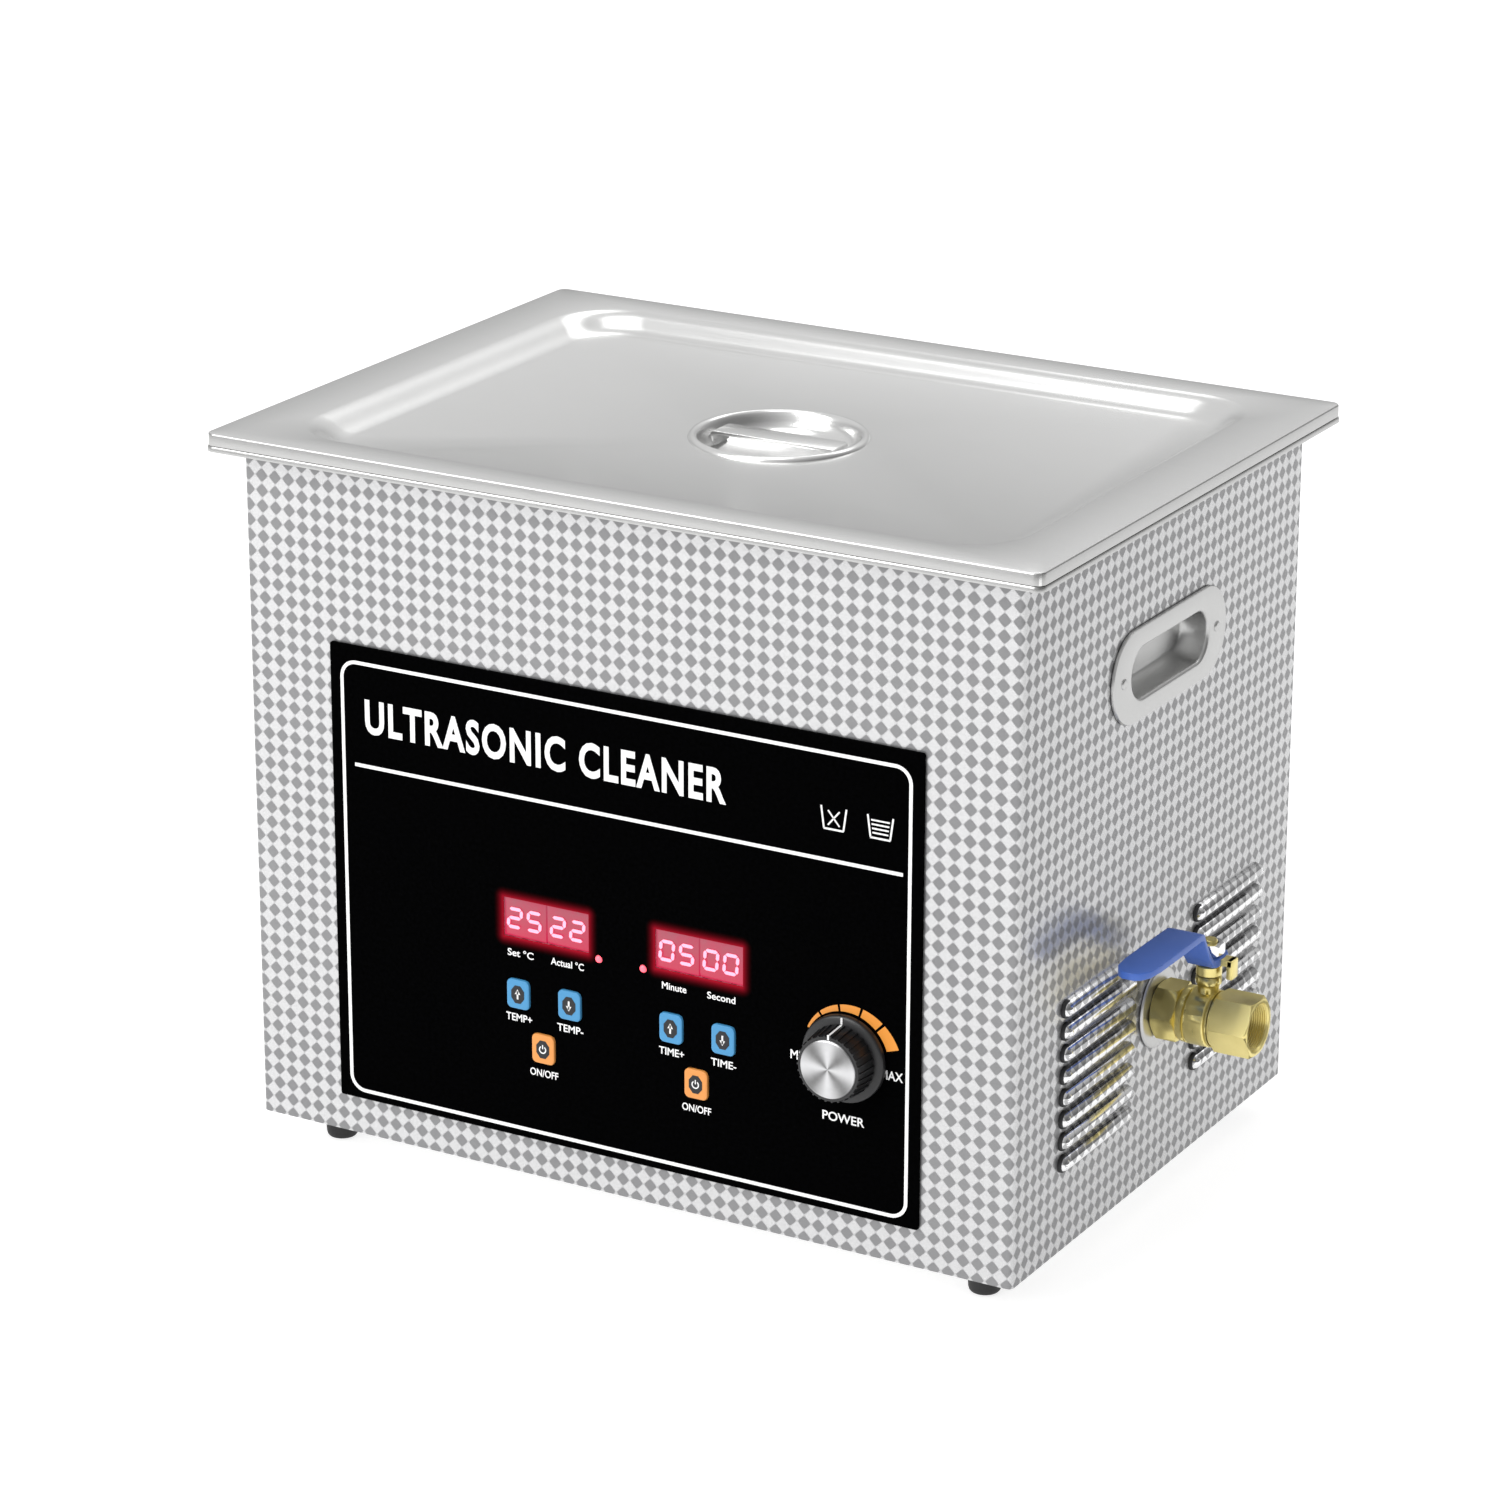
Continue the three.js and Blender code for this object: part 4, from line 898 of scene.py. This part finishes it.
# ---- carrying handles ----
def makeHandles():
    cup, proud, z = handlePlate["cup"], handlePlate["proud"], handlePlate["z"]

    # rings with half-round ends
    def stadium(length, width, z):
        return (length, width, width / 2 - 0.02, z)

    def slot(by, z):
        return stadium(handlePlate["slot"] + by, handlePlate["slotWidth"] + by, z)

    def plate(by, z):
        return stadium(handlePlate["length"] + by, handlePlate["width"] + by, z)

    rings = [slot(-2, -cup - 1), slot(2, -cup + 2), slot(3, 0), plate(0, 0), plate(0, proud - 0.5),
             plate(-0.5, proud - 0.1), plate(-1.2, proud)]
    rings += [slot(3 * (1 - sine), proud - 1.6 * (1 - cosine)) for sine, cosine in quarterTurn(5)]
    rings += [slot(-6.8 * (1 - cosine) - step / 6, -0.4 - (cup - 0.4) * sine)
              for step, (sine, cosine) in enumerate(quarterTurn(6)) if step]
    model = ringStack(rings, 16)
    smooth(model, 35)
    rivet = turnedPiece([(0, -0.3), (2.1, -0.3), (2.1, 0.1), (1.9, 0.35), (1.2, 0.55), (0, 0.6)], 24)
    smooth(rivet, 50)
    for side, hand in ((1, "right"), (-1, "left")):
        x = side * (halfWidth + 0.3)
        piece = stand(copyOf(model), x, 0, z, hand)
        handOver(piece, "carryHandle_" + hand, "housing", satinSteel, "brushed_steel", "handle_" + hand)
        heads = [stand(copyOf(rivet), x + side * proud, y, z, hand) for y in (-39.5, 39.5)]
        handOver(joinPieces(heads), "handleRivets_" + hand, "housing", satinSteel, "brushed_steel")
    discard(model, rivet)


print("handles")
makeHandles()


# ---- front panel: line work, lettering, displays and keys ----
panelLines = {"border": (245, 176.3, 7), "borderZ": 106.45, "divider": 235.7, "dividerX": 1.1, "dividerZ": 153.1}
panelFace = (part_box("control_fascia")[0].y - middle.y) / mm
print("panel face", round(panelFace, 2))
ink = {"thickness": 0.12, "line": 1.4}


def printed(piece, name, finish):
    return handOver(piece, name, "housing", finish, "black_panel")


# a thin rounded frame lying flat
def strokeFrame(width, height, radius, line, thickness):
    inner = (width - 2 * line, height - 2 * line, max(radius - line, 0.3))
    rings = [(*inner, 0), (width, height, radius, 0), (width, height, radius, thickness), (*inner, thickness),
             (*inner, 0)]
    piece = ringStack(rings, 10, False, False)
    tidyNormals(piece)
    return piece


# raised print, its overall height and width in millimetres
def word(text, x, z, height, width, weight, name, spacing=1.0):
    freeHands()
    bpy.ops.object.text_add(location=(0, 0, 0))
    label = bpy.context.object
    label.data.body = text
    label.data.size = 1.0
    label.data.align_x = "CENTER"
    label.data.align_y = "CENTER"
    label.data.offset = weight
    label.data.space_character = spacing
    label.data.resolution_u = 4
    label.data.extrude = 0.05
    bpy.ops.object.convert(target="MESH")
    label = bpy.context.object
    xs = [v.co.x for v in label.data.vertices]
    ys = [v.co.y for v in label.data.vertices]
    tall, broad = max(ys) - min(ys), max(xs) - min(xs)
    label.data.transform(Matrix.Translation((-(max(xs) + min(xs)) / 2, -(max(ys) + min(ys)) / 2, 0.05)))
    label.data.transform(Matrix.Diagonal((width * mm / broad, height * mm / tall, ink["thickness"] * mm / 0.1, 1)))
    tidyNormals(label)
    stand(label, x, panelFace, z, "front")
    return printed(label, name, whiteInk)


def bar(x, z, width, height, tilt=0.0):
    piece = cuboid(width, height, ink["thickness"], 0, 0, ink["thickness"] / 2)
    return stand(piece, x, panelFace, z, "front", math.radians(tilt))


# two small pictures of a tank: crossed out while empty, and filled
def makeTankSigns():
    strokes = []
    for x, filled in ((90.5, False), (109.6, True)):
        strokes += [bar(x + side * 4.6, 169.4, 0.7, 8.6, -8 * side) for side in (-1, 1)]
        strokes.append(bar(x, 165.1, 8.2, 0.7))
        if filled:
            strokes += [bar(x, 167 + level * 1.6, 6.4 + 0.4 * level, 0.6) for level in range(4)]
        else:
            strokes += [bar(x, 169.4, 0.6, 7.4, tilt) for tilt in (-40, 40)]
    printed(joinPieces(strokes), "tankSigns", whiteInk)


# each label as (name, text, x, z, height, width)
labels = (("print_Set", "Set °C", -43.6, 90.4, 3.0, 11.5), ("print_Actual", "Actual °C", -22.9, 90.4, 3.0, 14.5),
          ("print_Minute", "Minute", 23.6, 90.4, 2.8, 10.5), ("print_Second", "Second", 43.8, 90.4, 2.8, 12.0),
          ("print_TEMPUp", "TEMP+", -44.6, 64.2, 3.0, 11.5), ("print_TEMPDown", "TEMP-", -21.9, 64.2, 3.0, 11.5),
          ("print_TIMEUp", "TIME+", 22.4, 64.2, 3.0, 10.8), ("print_TIMEDown", "TIME-", 44.8, 64.2, 3.0, 10.8),
          ("print_MIN", "MIN", 77.2, 74.4, 3.6, 8.0), ("print_MAX", "MAX", 115.4, 74.4, 3.6, 9.2),
          ("print_POWER", "POWER", 95.5, 53.2, 3.6, 17.5), ("printOnOffHeat", "ON/OFF", -33.7, 43.6, 3.0, 12.5),
          ("printOnOffTimer", "ON/OFF", 33.2, 43.6, 3.0, 12.5))


def makePanelPrint():
    border = strokeFrame(*panelLines["border"], ink["line"], ink["thickness"])
    stand(border, 0, panelFace, panelLines["borderZ"], "front")
    printed(border, "panelBorder", whiteInk)
    divider = bar(panelLines["dividerX"], panelLines["dividerZ"], panelLines["divider"], ink["line"])
    printed(divider, "panelDivider", whiteInk)
    word("ULTRASONIC CLEANER", -33, 173.15, 13.9, 157.5, 0.03, "print_ULTRASONIC_CLEANER", 1.14)
    makeTankSigns()
    for name, text, x, z, height, width in labels:
        word(text, x, z, height, width, 0.012, name)


# a flat curved band whose outer edge widens
def arcBand(inner, outerFrom, outerTo, start, end, steps=8):
    freeHands()
    bpy.ops.mesh.primitive_grid_add(x_subdivisions=steps, y_subdivisions=1, size=1)
    band = bpy.context.object
    for vertex in band.data.vertices:
        share, side = vertex.co.x + 0.5, vertex.co.y + 0.5
        angle = math.radians(start + (end - start) * share)
        radius = inner + side * (outerFrom + (outerTo - outerFrom) * share - inner)
        vertex.co = (radius * math.sin(angle) * mm, radius * math.cos(angle) * mm, 0)
    modify(band, "SOLIDIFY", thickness=ink["thickness"] * mm, offset=1)
    tidyNormals(band)
    return band


# degrees clockwise from the top, and the band's outer edge at its first and last end
knobScale = {"marks": ((-62, -38), (-35, -11), (-8, 16), (19, 43), (46, 72)), "inner": 17.6, "outer": (18.4, 22.8)}


def makeKnobScale():
    (first, last), marks = knobScale["outer"], knobScale["marks"]
    sweep = marks[-1][1] - marks[0][0]
    bands = []
    for start, end in marks:
        edges = [first + (last - first) * (angle - marks[0][0]) / sweep for angle in (start, end)]
        band = arcBand(knobScale["inner"], *edges, start, end)
        bands.append(stand(band, knobCentre["x"], panelFace, knobCentre["z"], "front"))
    printed(joinPieces(bands), "powerScale", orangeInk)


segments = {"top": (0, 1, True), "middle": (0, 0, True), "bottom": (0, -1, True), "upLeft": (-1, 0.5, False),
            "upRight": (1, 0.5, False), "downLeft": (-1, -0.5, False), "downRight": (1, -0.5, False)}
litSegments = {
    "0": ("top", "bottom", "upLeft", "upRight", "downLeft", "downRight"),
    "2": ("top", "middle", "bottom", "upRight", "downLeft"),
    "5": ("top", "middle", "bottom", "upLeft", "downRight"),
}
digitSize = {"halfWidth": 2.7, "halfHeight": 3.6, "stroke": 1.35, "lean": 0.09, "spacing": 8.5}


# one lit bar with pointed ends
def makeSegment(flat):
    length = 2 * digitSize["halfWidth"] - 0.5 if flat else digitSize["halfHeight"] - 0.5
    stroke = digitSize["stroke"]
    piece = cuboid(length - stroke, stroke, 0.1, 0, 0, 0.05)
    editing(piece, "face")
    for side in (-1, 1):
        choose(piece, faces=lambda f: side * f.normal.x > 0.9)
        bpy.ops.mesh.extrude_region_move(TRANSFORM_OT_translate={"value": (side * stroke / 2 * mm, 0, 0)})
        bpy.ops.transform.resize(value=(1, 0.25, 1))
    freeHands()
    return piece


def makeDigits():
    models = {True: makeSegment(True), False: makeSegment(False)}
    for column, text in zip(displays["columns"], displays["digits"]):
        bars = []
        for place, figure in zip((-0.5, 0.5), text):
            for key in litSegments[figure]:
                dx, dz, flat = segments[key]
                up = dz * digitSize["halfHeight"]
                x = place * digitSize["spacing"] + dx * digitSize["halfWidth"] + up * digitSize["lean"]
                tilt = 0 if flat else math.pi / 2 - digitSize["lean"]
                bars.append(stand(copyOf(models[flat]), column + displays["width"] / 2 + x, panelFace + 0.35,
                                  displays["bottom"] + displays["height"] / 2 + up, "front", tilt))
        name = "digits_" + text + ("" if column < 0 else "_time")
        handOver(joinPieces(bars), name, "housing", litDigit, "red_display")
    discard(*models.values())


def makeDisplays():
    for name in ("set_temperature_display", "actual_temperature_display", "minute_display", "second_display"):
        window = cuboid(displays["width"], 7.5, displays["height"])
        soften(window, 0.25, 2)
        put(window, boxMiddle(*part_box(name)) + local(0, 0.2, 0))
        smooth(window, 30)
        handOver(window, "window_" + name, "housing", displayWindow, "red_display", name)
    for name in ("heat_lamp", "timer_lamp"):
        low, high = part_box(name)
        lamp = turnedPiece([(0, 0), (1.5, 0), (1.5, 5.9), (1.35, 6.3), (1.0, 6.6), (0.5, 6.8), (0, 6.85)], 24)
        put(lamp, Vector(((low.x + high.x) / 2, high.y, (low.z + high.z) / 2)), "front")
        smooth(lamp, 40)
        handOver(lamp, "lit_" + name, "housing", litLamp, "red_display", name)


# a key's black badge and its white sign, lying flat
def makeKeyPrint(kind):
    thickness = ink["thickness"]
    badge = cylinder(3.1, thickness, 0, 0, thickness / 2, 8)
    reshapeAll(badge, math.pi / 8, (1, 1.25, 1))
    badge.data.materials.append(keyBlack)
    if kind == "power":
        signs = [arcBand(1.15, 1.6, 1.6, 35, 325, 20), cuboid(0.42, 1.7, thickness, 0, 1.1)]
    else:
        flip = 1 if kind == "up" else -1
        head = cylinder(1.35, thickness, 0, 0.8 * flip, 0, 3)
        if flip < 0:
            reshapeAll(head, math.pi, centre=local(0, 0.8 * flip, 0))
        signs = [cuboid(0.7, 3.4, thickness, 0, -0.2 * flip), head]
    for sign in signs:
        sign.data.materials.clear()
        sign.data.materials.append(whiteInk)
        put(sign, local(0, 0, 0.14))
    return joinPieces([badge, *signs])


keySize = {"width": 9.9, "height": 11.8, "radius": 2.1, "proud": 0.9, "depth": 7}


def makeKeys():
    width, height, radius, proud, depth = (keySize[k] for k in ("width", "height", "radius", "proud", "depth"))
    cap = ringStack([(width, height, radius, -depth), (width, height, radius, proud - 0.45),
                     (width - 0.3, height - 0.3, radius - 0.15, proud - 0.15),
                     (width - 0.9, height - 0.9, radius - 0.4, proud - 0.02),
                     (width - 2, height - 2, radius - 0.8, proud)], 8)
    smooth(cap, 40)
    prints = {kind: makeKeyPrint(kind) for kind in ("up", "down", "power")}
    for name, (x, z) in keyGrid.items():
        kind = next(kind for kind in prints if kind in name)
        finish, slotName = (keyOrange, "orange_key") if kind == "power" else (keyBlue, "blue_key")
        key = copyOf(cap)
        key.data.materials.clear()
        key.data.materials.append(finish)
        sign = put(copyOf(prints[kind]), local(0, 0, proud - 0.04))
        piece = stand(joinPieces([key, sign]), x, panelFace, z, "front")
        handOver(piece, "cap_" + name, name, None, slotName, name)
    discard(cap, *prints.values())


print("front panel")
makePanelPrint()
makeKnobScale()
makeDisplays()
makeDigits()
makeKeys()


# ---- power knob; heights are outwards from the knob's back ----
knob = {"body": 13.4, "foot": 3.2, "height": 13.2, "flutes": 30, "rib": 0.55, "taper": 0.93,
        "skirt": [(0, 0.1), (16.4, 0.1), (17, 0.6), (17, 2.1), (16.7, 2.7), (16.2, 3.0), (13.9, 3.4), (0, 3.4)],
        "cap": [(0, 12.7), (11.2, 12.7), (11.4, 12.9), (11.4, 13.3), (11.2, 13.65), (10.8, 13.85), (10.4, 13.8),
                (10.2, 13.72), (0, 13.72)]}


def makeKnob():
    back = (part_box("power_knob")[1].y - middle.y) / mm
    foot, height, sides = knob["foot"], knob["height"], knob["flutes"] * 4
    place = (knobCentre["x"], back, knobCentre["z"], "front")
    skirt = turnedPiece(knob["skirt"], 72)
    smooth(skirt, 35)
    body = cylinder(knob["body"], height - foot, 0, 0, (height + foot) / 2, sides)
    editing(body, "face")

    def isRib(face):
        centre = face.calc_center_median()
        number = round(math.atan2(centre.y, centre.x) / turn * sides - 0.5)
        return abs(face.normal.z) < 0.5 and number % 4 == 0

    choose(body, faces=isRib)
    bpy.ops.mesh.inset(thickness=0.00001, use_individual=True)
    bpy.ops.mesh.extrude_region_shrink_fatten(TRANSFORM_OT_shrink_fatten={"value": knob["rib"] * mm})
    choose(body, verts=lambda v: v.co.z > (height - 0.5) * mm)
    bpy.ops.transform.resize(value=(knob["taper"], knob["taper"], 1), center_override=(0, 0, 0))
    soften(body, 0.35, 2, 40)
    smooth(body, 40)
    piece = stand(joinPieces([skirt, body]), *place)
    handOver(piece, "knobBody", "knob", knobPlastic, "knob_plastic", "power_knob")
    cap = turnedPiece(knob["cap"], 72)
    smooth(cap, 30)
    handOver(stand(cap, *place), "knobCapDisc", "knob", spunCap, "knob_aluminium", "knob_cap")
    # the pointer runs over the top, down the side and across the skirt
    marks = [cuboid(0.8, 1.9, 0.25, 0, 12.5, 13.2), cuboid(0.8, 0.25, 9.2, 0, 13.75, 8.0),
             cuboid(0.8, 3.0, 0.25, 0, 15.1, 3.25)]
    editing(marks[1])
    choose(marks[1], verts=lambda v: v.co.z > 0.008)
    bpy.ops.transform.translate(value=local(0, -0.7, 0))
    handOver(stand(joinPieces(marks), *place), "knobPointer", "knob", whiteInk, "knob_plastic")


print("knob")
makeKnob()


# ---- drain valve: body and cap are modelled outwards from the casing's side, stem and nuts upwards ----
valve = {
    "z": 70, "stem": 21, "bodyFlats": 20.6, "capFlats": 21.4,
    "barrel": [(0, 10), (10.0, 10), (10.0, 11.2), (10.5, 12.0), (10.9, 12.6), (11.0, 13.2), (11.0, 14.8), (10.6, 15.0),
               (10.3, 15.3), (10.6, 15.6), (11.1, 15.8), (11.2, 16.4), (11.2, 23.4), (10.9, 23.8), (10.4, 24.1),
               (10.9, 24.4), (11.0, 24.6), (11.0, 25.2), (0, 25.2)],
    "bonnet": [(0, 5), (4.1, 5), (4.1, 12.6), (4.4, 13.6), (4.9, 14.2), (4.9, 16.8), (4.6, 17.2), (0, 17.2)],
    "washer": [(9.5, 0.3), (15.6, 0.3), (16, 0.6), (15.9, 1.0), (15.4, 1.4), (14.6, 1.55), (9.5, 1.6), (9.5, 0.3)],
    "gland": [(0, 17.5), (4.6, 17.5), (4.9, 17.8), (4.9, 21.2), (4.6, 21.6), (0, 21.6)],
    "stemRod": [(0, 12), (2.9, 12), (2.9, 31), (2.5, 31.6), (0, 31.6)],
}


# a hexagon with turned-off corners
def hexPrism(flats, start, end, chamfer=0.9):
    radius = flats / math.sqrt(3)
    inner, outer = flats / 2 + 0.1, radius + 0.05
    prism = cylinder(radius, end - start, 0, 0, (start + end) / 2, 6)
    limit = turnedPiece([(0, start), (inner, start), (outer, start + chamfer), (outer, end - chamfer), (inner, end),
                         (0, end)], 48)
    return carve(prism, limit, "INTERSECT")


# across the valve, at the stem
def upright(piece, y=0):
    piece.matrix_world = Matrix.Translation(local(0, y, valve["stem"])) @ Matrix.Rotation(-math.pi / 2, 4, "X")
    settle(piece)
    return piece


def finishValve(piece, angle, name, body, finish, slotName, node, along=True):
    smooth(piece, angle)
    if along:
        stand(piece, halfWidth, 0, valve["z"], "right")
    else:
        stand(piece, halfWidth + valve["stem"], 0, valve["z"])
    handOver(piece, name, body, finish, slotName, node)


def makeValve():
    body = hexPrism(valve["bodyFlats"], 1.8, 11.6)
    reshapeAll(body, math.radians(30))
    carve(body, turnedPiece(valve["barrel"], 72), "UNION")
    carve(body, upright(turnedPiece(valve["bonnet"], 40)), "UNION")
    for radius, start, end in ((9.4, 1, 8.3), (6.5, 5, 12), (9.6, 10, 26)):
        carve(body, cylinder(radius, end - start, 0, 0, (start + end) / 2))
    carve(body, upright(cylinder(3.4, 20, sides=32), 13))
    soften(body, 0.18, 2, 35)
    finishValve(body, 35, "valveBody", "housing", brass, "brass", "valve_body")
    cap = hexPrism(valve["capFlats"], 26.1, 42)
    reshapeAll(cap, math.radians(30))
    carve(cap, turnedPiece([(0, 25.5), (10.6, 25.5), (10.6, 27), (0, 27)], 60), "UNION")
    thread = [(0, 25), (9.6, 25), (9.6, 32), (6.5, 32.2), (6.5, 33.4)]
    for pitchStep in range(9):
        height = 33.6 + pitchStep * 0.9
        thread += [(8.7, height), (9.2, height + 0.45)]
    carve(cap, turnedPiece(thread + [(8.9, 41.2), (9.5, 42.2), (0, 42.2)], 60))
    soften(cap, 0.15, 2, 40)
    finishValve(cap, 35, "valveEndCap", "housing", brass, "brass", "valve_end_cap")
    washer = turnedPiece(valve["washer"], 72)
    finishValve(washer, 40, "valveWasher", "housing", satinSteel, "chrome", "drain_washer")
    gland = carve(turnedPiece(valve["gland"], 40), cylinder(3.4, 12, 0, 0, 19))
    finishValve(gland, 30, "glandNut", "housing", brass, "brass", "valve_gland_nut", False)
    topNut = carve(hexPrism(10, 25.7, 30.4, 0.8), cylinder(3.3, 12, 0, 0, 28))
    finishValve(topNut, 30, "leverTopNut", "drain_lever", chrome, "chrome", "lever_nut", False)
    stem = turnedPiece(valve["stemRod"], 32)
    finishValve(stem, 35, "valveStemRod", "drain_lever", brass, "brass", "valve_stem", False)


# each station is (y, height, width)
leverShape = {"sheet": 2.9,
              "stations": ((6.6, 22.6, 8.4), (4.6, 22.6, 11.0), (0, 22.6, 12.2), (-5.0, 22.6, 11.6), (-7.8, 23.4, 11.0),
                           (-12, 28.2, 11.2), (-17, 34.6, 12.6), (-20.0, 38.4, 13.8), (-23, 39.4, 14.4), (-40, 39.4, 14.8),
                           (-58, 39.4, 14.8), (-65, 39.4, 13.4), (-68.8, 39.4, 9.6), (-70.6, 39.4, 4.6))}


# a strip extruded station by station, then rounded like dipped vinyl
def makeLever():
    stations, sheet = leverShape["stations"], leverShape["sheet"]
    y, height, width = stations[0]
    strip = cuboid(width, 0.4, sheet, 0, y + 0.2, height + sheet / 2)
    editing(strip, "face")
    choose(strip, faces=lambda f: f.normal.y < -0.9)
    for nextY, nextHeight, nextWidth in stations[1:]:
        move = local(0, nextY - y, nextHeight - height)
        bpy.ops.mesh.extrude_region_move(TRANSFORM_OT_translate={"value": move})
        bpy.ops.transform.resize(value=(nextWidth / width, 1, 1),
                                 center_override=local(0, nextY, nextHeight + sheet / 2))
        y, height, width = nextY, nextHeight, nextWidth
    soften(strip, 0.8, 3, 40)
    tidyNormals(strip)
    carve(strip, cylinder(3.35, 30, 0, 0, 25, 32))
    finishValve(strip, 50, "leverVinyl", "drain_lever", blueVinyl, "blue_vinyl", "valve_lever", False)
    stop = cuboid(2.4, 5.6, 7.6, 9.4, 0, 21.4)
    soften(stop, 0.4, 2)
    stop = joinPieces([stop, cuboid(5, 5.6, 2.4, 7.6, 0, 24)])
    smooth(stop, 40)
    stand(stop, halfWidth + valve["stem"], 0, valve["z"])
    handOver(stop, "leverStop", "drain_lever", brass, "brass")


print("drain valve")
makeValve()
makeLever()


# ---- rear fittings ----
def ring(radius, wire, segments, sides, z=0.0):
    freeHands()
    bpy.ops.mesh.primitive_torus_add(major_radius=radius * mm, minor_radius=wire * mm, major_segments=segments,
                                     minor_segments=sides, location=local(0, 0, z))
    settle(bpy.context.object)
    return bpy.context.object


def makeFanGuard():
    wires = [ring(radius, 0.8, 72, 10, 3.6) for radius in (10, 18, 26, 34)]
    for angle in (45, 135):
        spoke = cylinder(0.9, 100, sides=12)
        spoke.matrix_world = Matrix.Translation(local(0, 0, 2.1)) @ Matrix.Rotation(
            math.radians(angle), 4, "Z") @ Matrix.Rotation(math.pi / 2, 4, "Y")
        settle(spoke)
        wires.append(spoke)
    # a washer and a screw head at each corner
    for sx in (-1, 1):
        for sy in (-1, 1):
            corner = local(sx * fan["screws"], sy * fan["screws"], 0)
            wires.append(put(turnedPiece([(0, 0), (4.4, 0), (4.4, 1.2), (3.9, 1.6), (0, 1.6)], 28), corner))
            wires.append(put(turnedPiece([(0, 1.4), (3.4, 1.4), (3.2, 2.6), (2.2, 3.6), (0, 4.0)], 28), corner))
    guard = joinPieces(wires)
    smooth(guard, 45)
    stand(guard, fan["x"], halfDepth, fan["z"], "back")
    handOver(guard, "fanGuardWires", "housing", chrome, "chrome", "fan_guard")


# on and off marks on the rocker
def makeRearMarks():
    low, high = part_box("rocker")
    for text, side, stretch in (("I", -1, (0.16, 1.1, 1)), ("O", 1, (1, 1, 1))):
        mark = ring(1.0, 0.16, 28, 8)
        reshapeAll(mark, stretch=stretch)
        smooth(mark, 60)
        height = (low.z + high.z) / 2 + side * 2.6 * mm
        put(mark, Vector(((low.x + high.x) / 2, rockerFace(height, low.y), height)), "back")
        handOver(mark, "rockerMark" + text, "rocker", whiteInk, "black_plastic")


# how far out the rocker's face stands at a height
def rockerFace(height, inner):
    near = [v.co for v in frame["nodes"]["rocker"].data.vertices if v.co.y > inner + 0.0035]
    near.sort(key=lambda co: co.z)
    for lower, upper in zip(near, near[1:]):
        if lower.z <= height <= upper.z and upper.z - lower.z > 1e-6:
            share = (height - lower.z) / (upper.z - lower.z)
            return lower.y + share * (upper.y - lower.y)
    return near[-1].y


print("rear fittings")
makeFanGuard()
makeRearMarks()


# ---- floor, light and camera ----
def makeFloor():
    freeHands()
    bpy.ops.mesh.primitive_plane_add(size=12, location=(0, 2.0, cadLow.z - 0.0004))
    floor = bpy.context.object
    floor.name = "floor"
    nodes = Nodes("paleFloor")
    speckle = nodes.noise(3.0, 2.0)
    tone = nodes.blend(speckle, rgb(0.43, 0.43, 0.43), rgb(0.46, 0.46, 0.46))
    floor.data.materials.append(nodes.set(color=tone, roughness=0.9, specular=0.1, glow=rgb(1.0, 1.0, 1.0),
                                          glowStrength=0.78))


def makeLight(name, place, aim, size, power):
    light = bpy.data.lights.new(name, "AREA")
    light.shape = "RECTANGLE"
    light.size, light.size_y = size
    light.energy = power
    lamp = bpy.data.objects.new(name, light)
    lamp.location = place
    lamp.rotation_euler = (Vector(aim) - Vector(place)).to_track_quat("-Z", "Y").to_euler()
    bpy.context.collection.objects.link(lamp)


room = {"horizon": 0.46, "overhead": 0.76, "rightDim": 0.32}


# a white studio, dim behind the object and to its right, bright overhead
def makeWorld():
    world = bpy.data.worlds.new("studio")
    bpy.context.scene.world = world
    world.use_nodes = True
    tree = world.node_tree
    spot = tree.nodes.new("ShaderNodeTexCoord")
    split = tree.nodes.new("ShaderNodeSeparateXYZ")
    tree.links.new(spot.outputs["Generated"], split.inputs[0])
    rise = tree.nodes.new("ShaderNodeMapRange")
    rise.interpolation_type = "SMOOTHSTEP"
    side = tree.nodes.new("ShaderNodeMapRange")
    for node, axis, values in ((rise, 2, (0.02, 0.50, room["horizon"], room["overhead"])),
                               (side, 0, (0.15, 0.9, 1.0, room["rightDim"]))):
        tree.links.new(split.outputs[axis], node.inputs["Value"])
        for name, value in zip(("From Min", "From Max", "To Min", "To Max"), values):
            node.inputs[name].default_value = value
    both = tree.nodes.new("ShaderNodeMath")
    both.operation = "MULTIPLY"
    tree.links.new(rise.outputs[0], both.inputs[0])
    tree.links.new(side.outputs[0], both.inputs[1])
    background = tree.nodes["Background"]
    background.inputs["Color"].default_value = rgb(1.0, 1.0, 1.0)
    tree.links.new(both.outputs[0], background.inputs["Strength"])


view = {"place": (0.92065, -1.65025, 0.8257), "azimuth": 29.843, "elevation": 19.384, "roll": 0.1335,
        "lens": 124.62}


def makeCamera():
    camera = bpy.data.objects.new("camera", bpy.data.cameras.new("camera"))
    bpy.context.collection.objects.link(camera)
    camera.data.lens = view["lens"]
    camera.data.sensor_width = 36
    camera.data.clip_end = 60
    camera.location = view["place"]
    turned = Matrix.Rotation(math.radians(view["azimuth"]), 4, "Z") @ Matrix.Rotation(
        math.radians(90 - view["elevation"]), 4, "X") @ Matrix.Rotation(math.radians(view["roll"]), 4, "Z")
    camera.rotation_euler = turned.to_euler()
    bpy.context.scene.camera = camera


print("studio")
makeFloor()
makeWorld()
makeLight("key", (-1.2, -2.4, 2.0), (0, 0, 0.15), (2.2, 2.2), 84)
makeLight("behind", (0.0, 2.0, 2.5), (0, 0, 0.28), (2.6, 0.9), 10)
makeLight("top", (-0.4, -0.2, 3.2), (0, 0, 0.2), (1.6, 1.6), 14)
makeCamera()
bpy.context.scene.view_settings.view_transform = "Standard"
